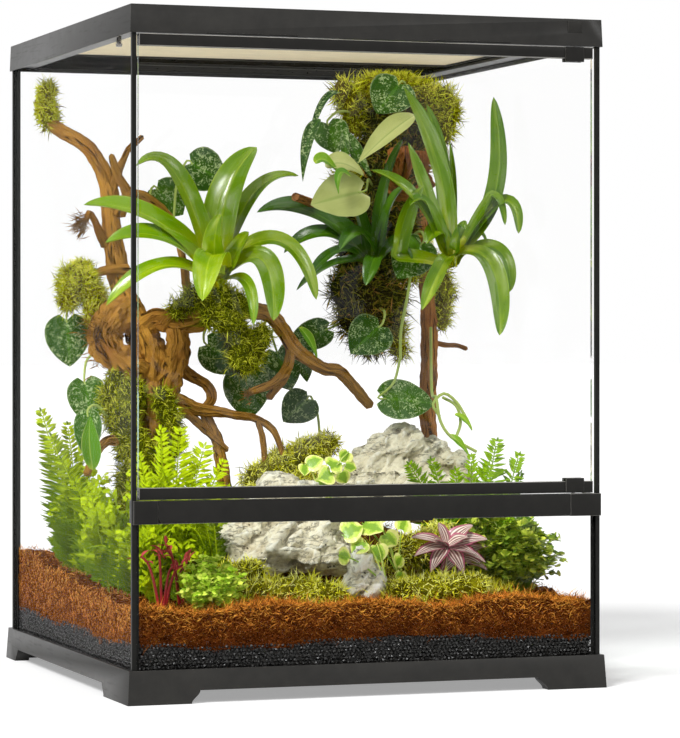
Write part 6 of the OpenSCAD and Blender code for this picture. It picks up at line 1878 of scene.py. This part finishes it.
    def stems(self, heap, tufts, rng):
        """Thin upright red stems with a few narrow leaves near their ends."""
        for tuft in tufts:
            for line, _, i in tuft_lines(tuft, 24):
                if i % 4 == 3:
                    continue
                tube(heap, [[*q, 1.4 - 0.1 * j] for j, q in enumerate(line[::6])], 6, 0.2, 4.0)
                for k in (12, 17, 21, 23):
                    way = rows_unit(rng.normal(size=3) * [1, 1, 0.5] + UP * 0.7)
                    end = line[k] + way * rng.uniform(7, 12)
                    blade(heap, bezier(line[k], (line[k] + end) / 2 + UP * 2, end, 8),
                          rng.uniform(3.4, 5.4), 0, rng.random(), thick=0.4, cols=5)


# ---------------------------------------------------------------- the stage

class TERRARIUM_OT_stage(PieceOperator, bpy.types.Operator):
    """Lays the white floor and sets the studio lights and the camera"""
    bl_idname = "terrarium.stage"
    bl_label = "Floor, lights and camera"

    # name, strength, width and turn of each sun, in degrees
    suns = (("key_sun", 2.8, 19, (46, 0, -52)), ("fill_sun", 0.6, 22, (58, 0, 46)))

    def execute(self, context):
        bpy.ops.object.select_all(action="DESELECT")
        bpy.ops.mesh.primitive_plane_add(size=60, location=(0, 0, -0.0001))
        floor = bpy.context.object
        floor.name = floor.data.name = "studio_floor"
        bpy.ops.object.mode_set(mode="EDIT")
        bpy.ops.mesh.subdivide(number_cuts=3)
        bpy.ops.object.mode_set(mode="OBJECT")
        bpy.ops.object.transform_apply(location=True, rotation=True, scale=True)
        paint(floor.data, self.floor_material())
        self.world(context.scene)
        for name, strength, width, turn in self.suns:
            data = bpy.data.lights.new(name, "SUN")
            data.energy, data.angle = strength, math.radians(width)
            self.hang(name, data, (0, 0, 2), [math.radians(a) for a in turn])
        context.scene.camera = self.camera()
        context.scene.view_settings.view_transform = "Standard"
        return {"FINISHED"}

    def hang(self, name, data, place, turn):
        """Puts a light or camera in the scene."""
        obj = bpy.data.objects.new(name, data)
        obj.location, obj.rotation_euler = place, turn
        bpy.context.scene.collection.objects.link(obj)
        return obj

    def floor_material(self):
        """White that looks as bright as the surroundings and lights as little as they do."""
        def build(t, place):
            white = t.mix(t.noise(place["Object"], 3.0, 2.0), (0.78, 0.78, 0.78), (0.8, 0.8, 0.8))
            return {"Base Color": white, "Emission Strength": t.times(t.seen(), AMBIENT)}
        return material("Studio floor", build, Roughness=0.8, Specular_IOR_Level=0.0,
                        Emission_Color=(1.0, 1.0, 1.0))

    def world(self, scene):
        """White surroundings, plain white to look at and weaker as a light."""
        world = bpy.data.worlds.new("Studio light")
        scene.world = world
        world.use_nodes = True
        t = Tree(world.node_tree)
        back = world.node_tree.nodes["Background"]
        t.set(back.inputs["Color"], (1.0, 1.0, 1.0))
        t.set(back.inputs["Strength"], t.span(t.seen(), 0.0, 1.0, AMBIENT, 1.0))

    def camera(self):
        """The camera solved on the photo's corners."""
        data = bpy.data.cameras.new("camera")
        data.sensor_width, data.sensor_fit = 36, "AUTO"
        data.lens = FOCAL * data.sensor_width / IMAGE_HEIGHT
        data.shift_y = -HORIZON / IMAGE_HEIGHT
        data.clip_end = 200
        data.dof.use_dof = False
        return self.hang("camera", data, CAMERA_PLACE, (math.radians(90), 0, CAMERA_TURN))


class TERRARIUM_PT_pieces(bpy.types.Panel):
    """Lists the pieces of the terrarium"""
    bl_idname = "TERRARIUM_PT_pieces"
    bl_label = "Terrarium"
    bl_space_type = "VIEW_3D"
    bl_region_type = "UI"
    bl_category = "Terrarium"

    def draw(self, context):
        for name, cls in GROUPS:
            box = self.layout.box()
            box.label(text=name.split("_")[0].title())
            held = getattr(context.scene, name)
            for key in cls.__annotations__:
                box.prop(held, key)
        for op in OPERATORS:
            self.layout.operator(op.bl_idname)


OPERATORS = (TERRARIUM_OT_mouldings, TERRARIUM_OT_glass, TERRARIUM_OT_lid_net, TERRARIUM_OT_pellets,
             TERRARIUM_OT_fibre, TERRARIUM_OT_rocks, TERRARIUM_OT_root_wood, TERRARIUM_OT_moss,
             TERRARIUM_OT_bromeliads, TERRARIUM_OT_hanging_leaves, TERRARIUM_OT_ferns,
             TERRARIUM_OT_ground_plants, TERRARIUM_OT_stage)
GROUPS = (("case_settings", CaseSettings), ("ground_settings", GroundSettings),
          ("plant_settings", PlantSettings))


def register():
    for key, cls in GROUPS:
        bpy.utils.register_class(cls)
        setattr(bpy.types.Scene, key, PointerProperty(type=cls))
    for cls in (*OPERATORS, TERRARIUM_PT_pieces):
        bpy.utils.register_class(cls)


def unregister():
    for cls in (TERRARIUM_PT_pieces, *reversed(OPERATORS)):
        bpy.utils.unregister_class(cls)
    for key, cls in GROUPS:
        delattr(bpy.types.Scene, key)
        bpy.utils.unregister_class(cls)


def main():
    register()
    for op in OPERATORS:
        area, name = op.bl_idname.split(".")
        getattr(getattr(bpy.ops, area), name)()


if __name__ == "__main__":
    main()
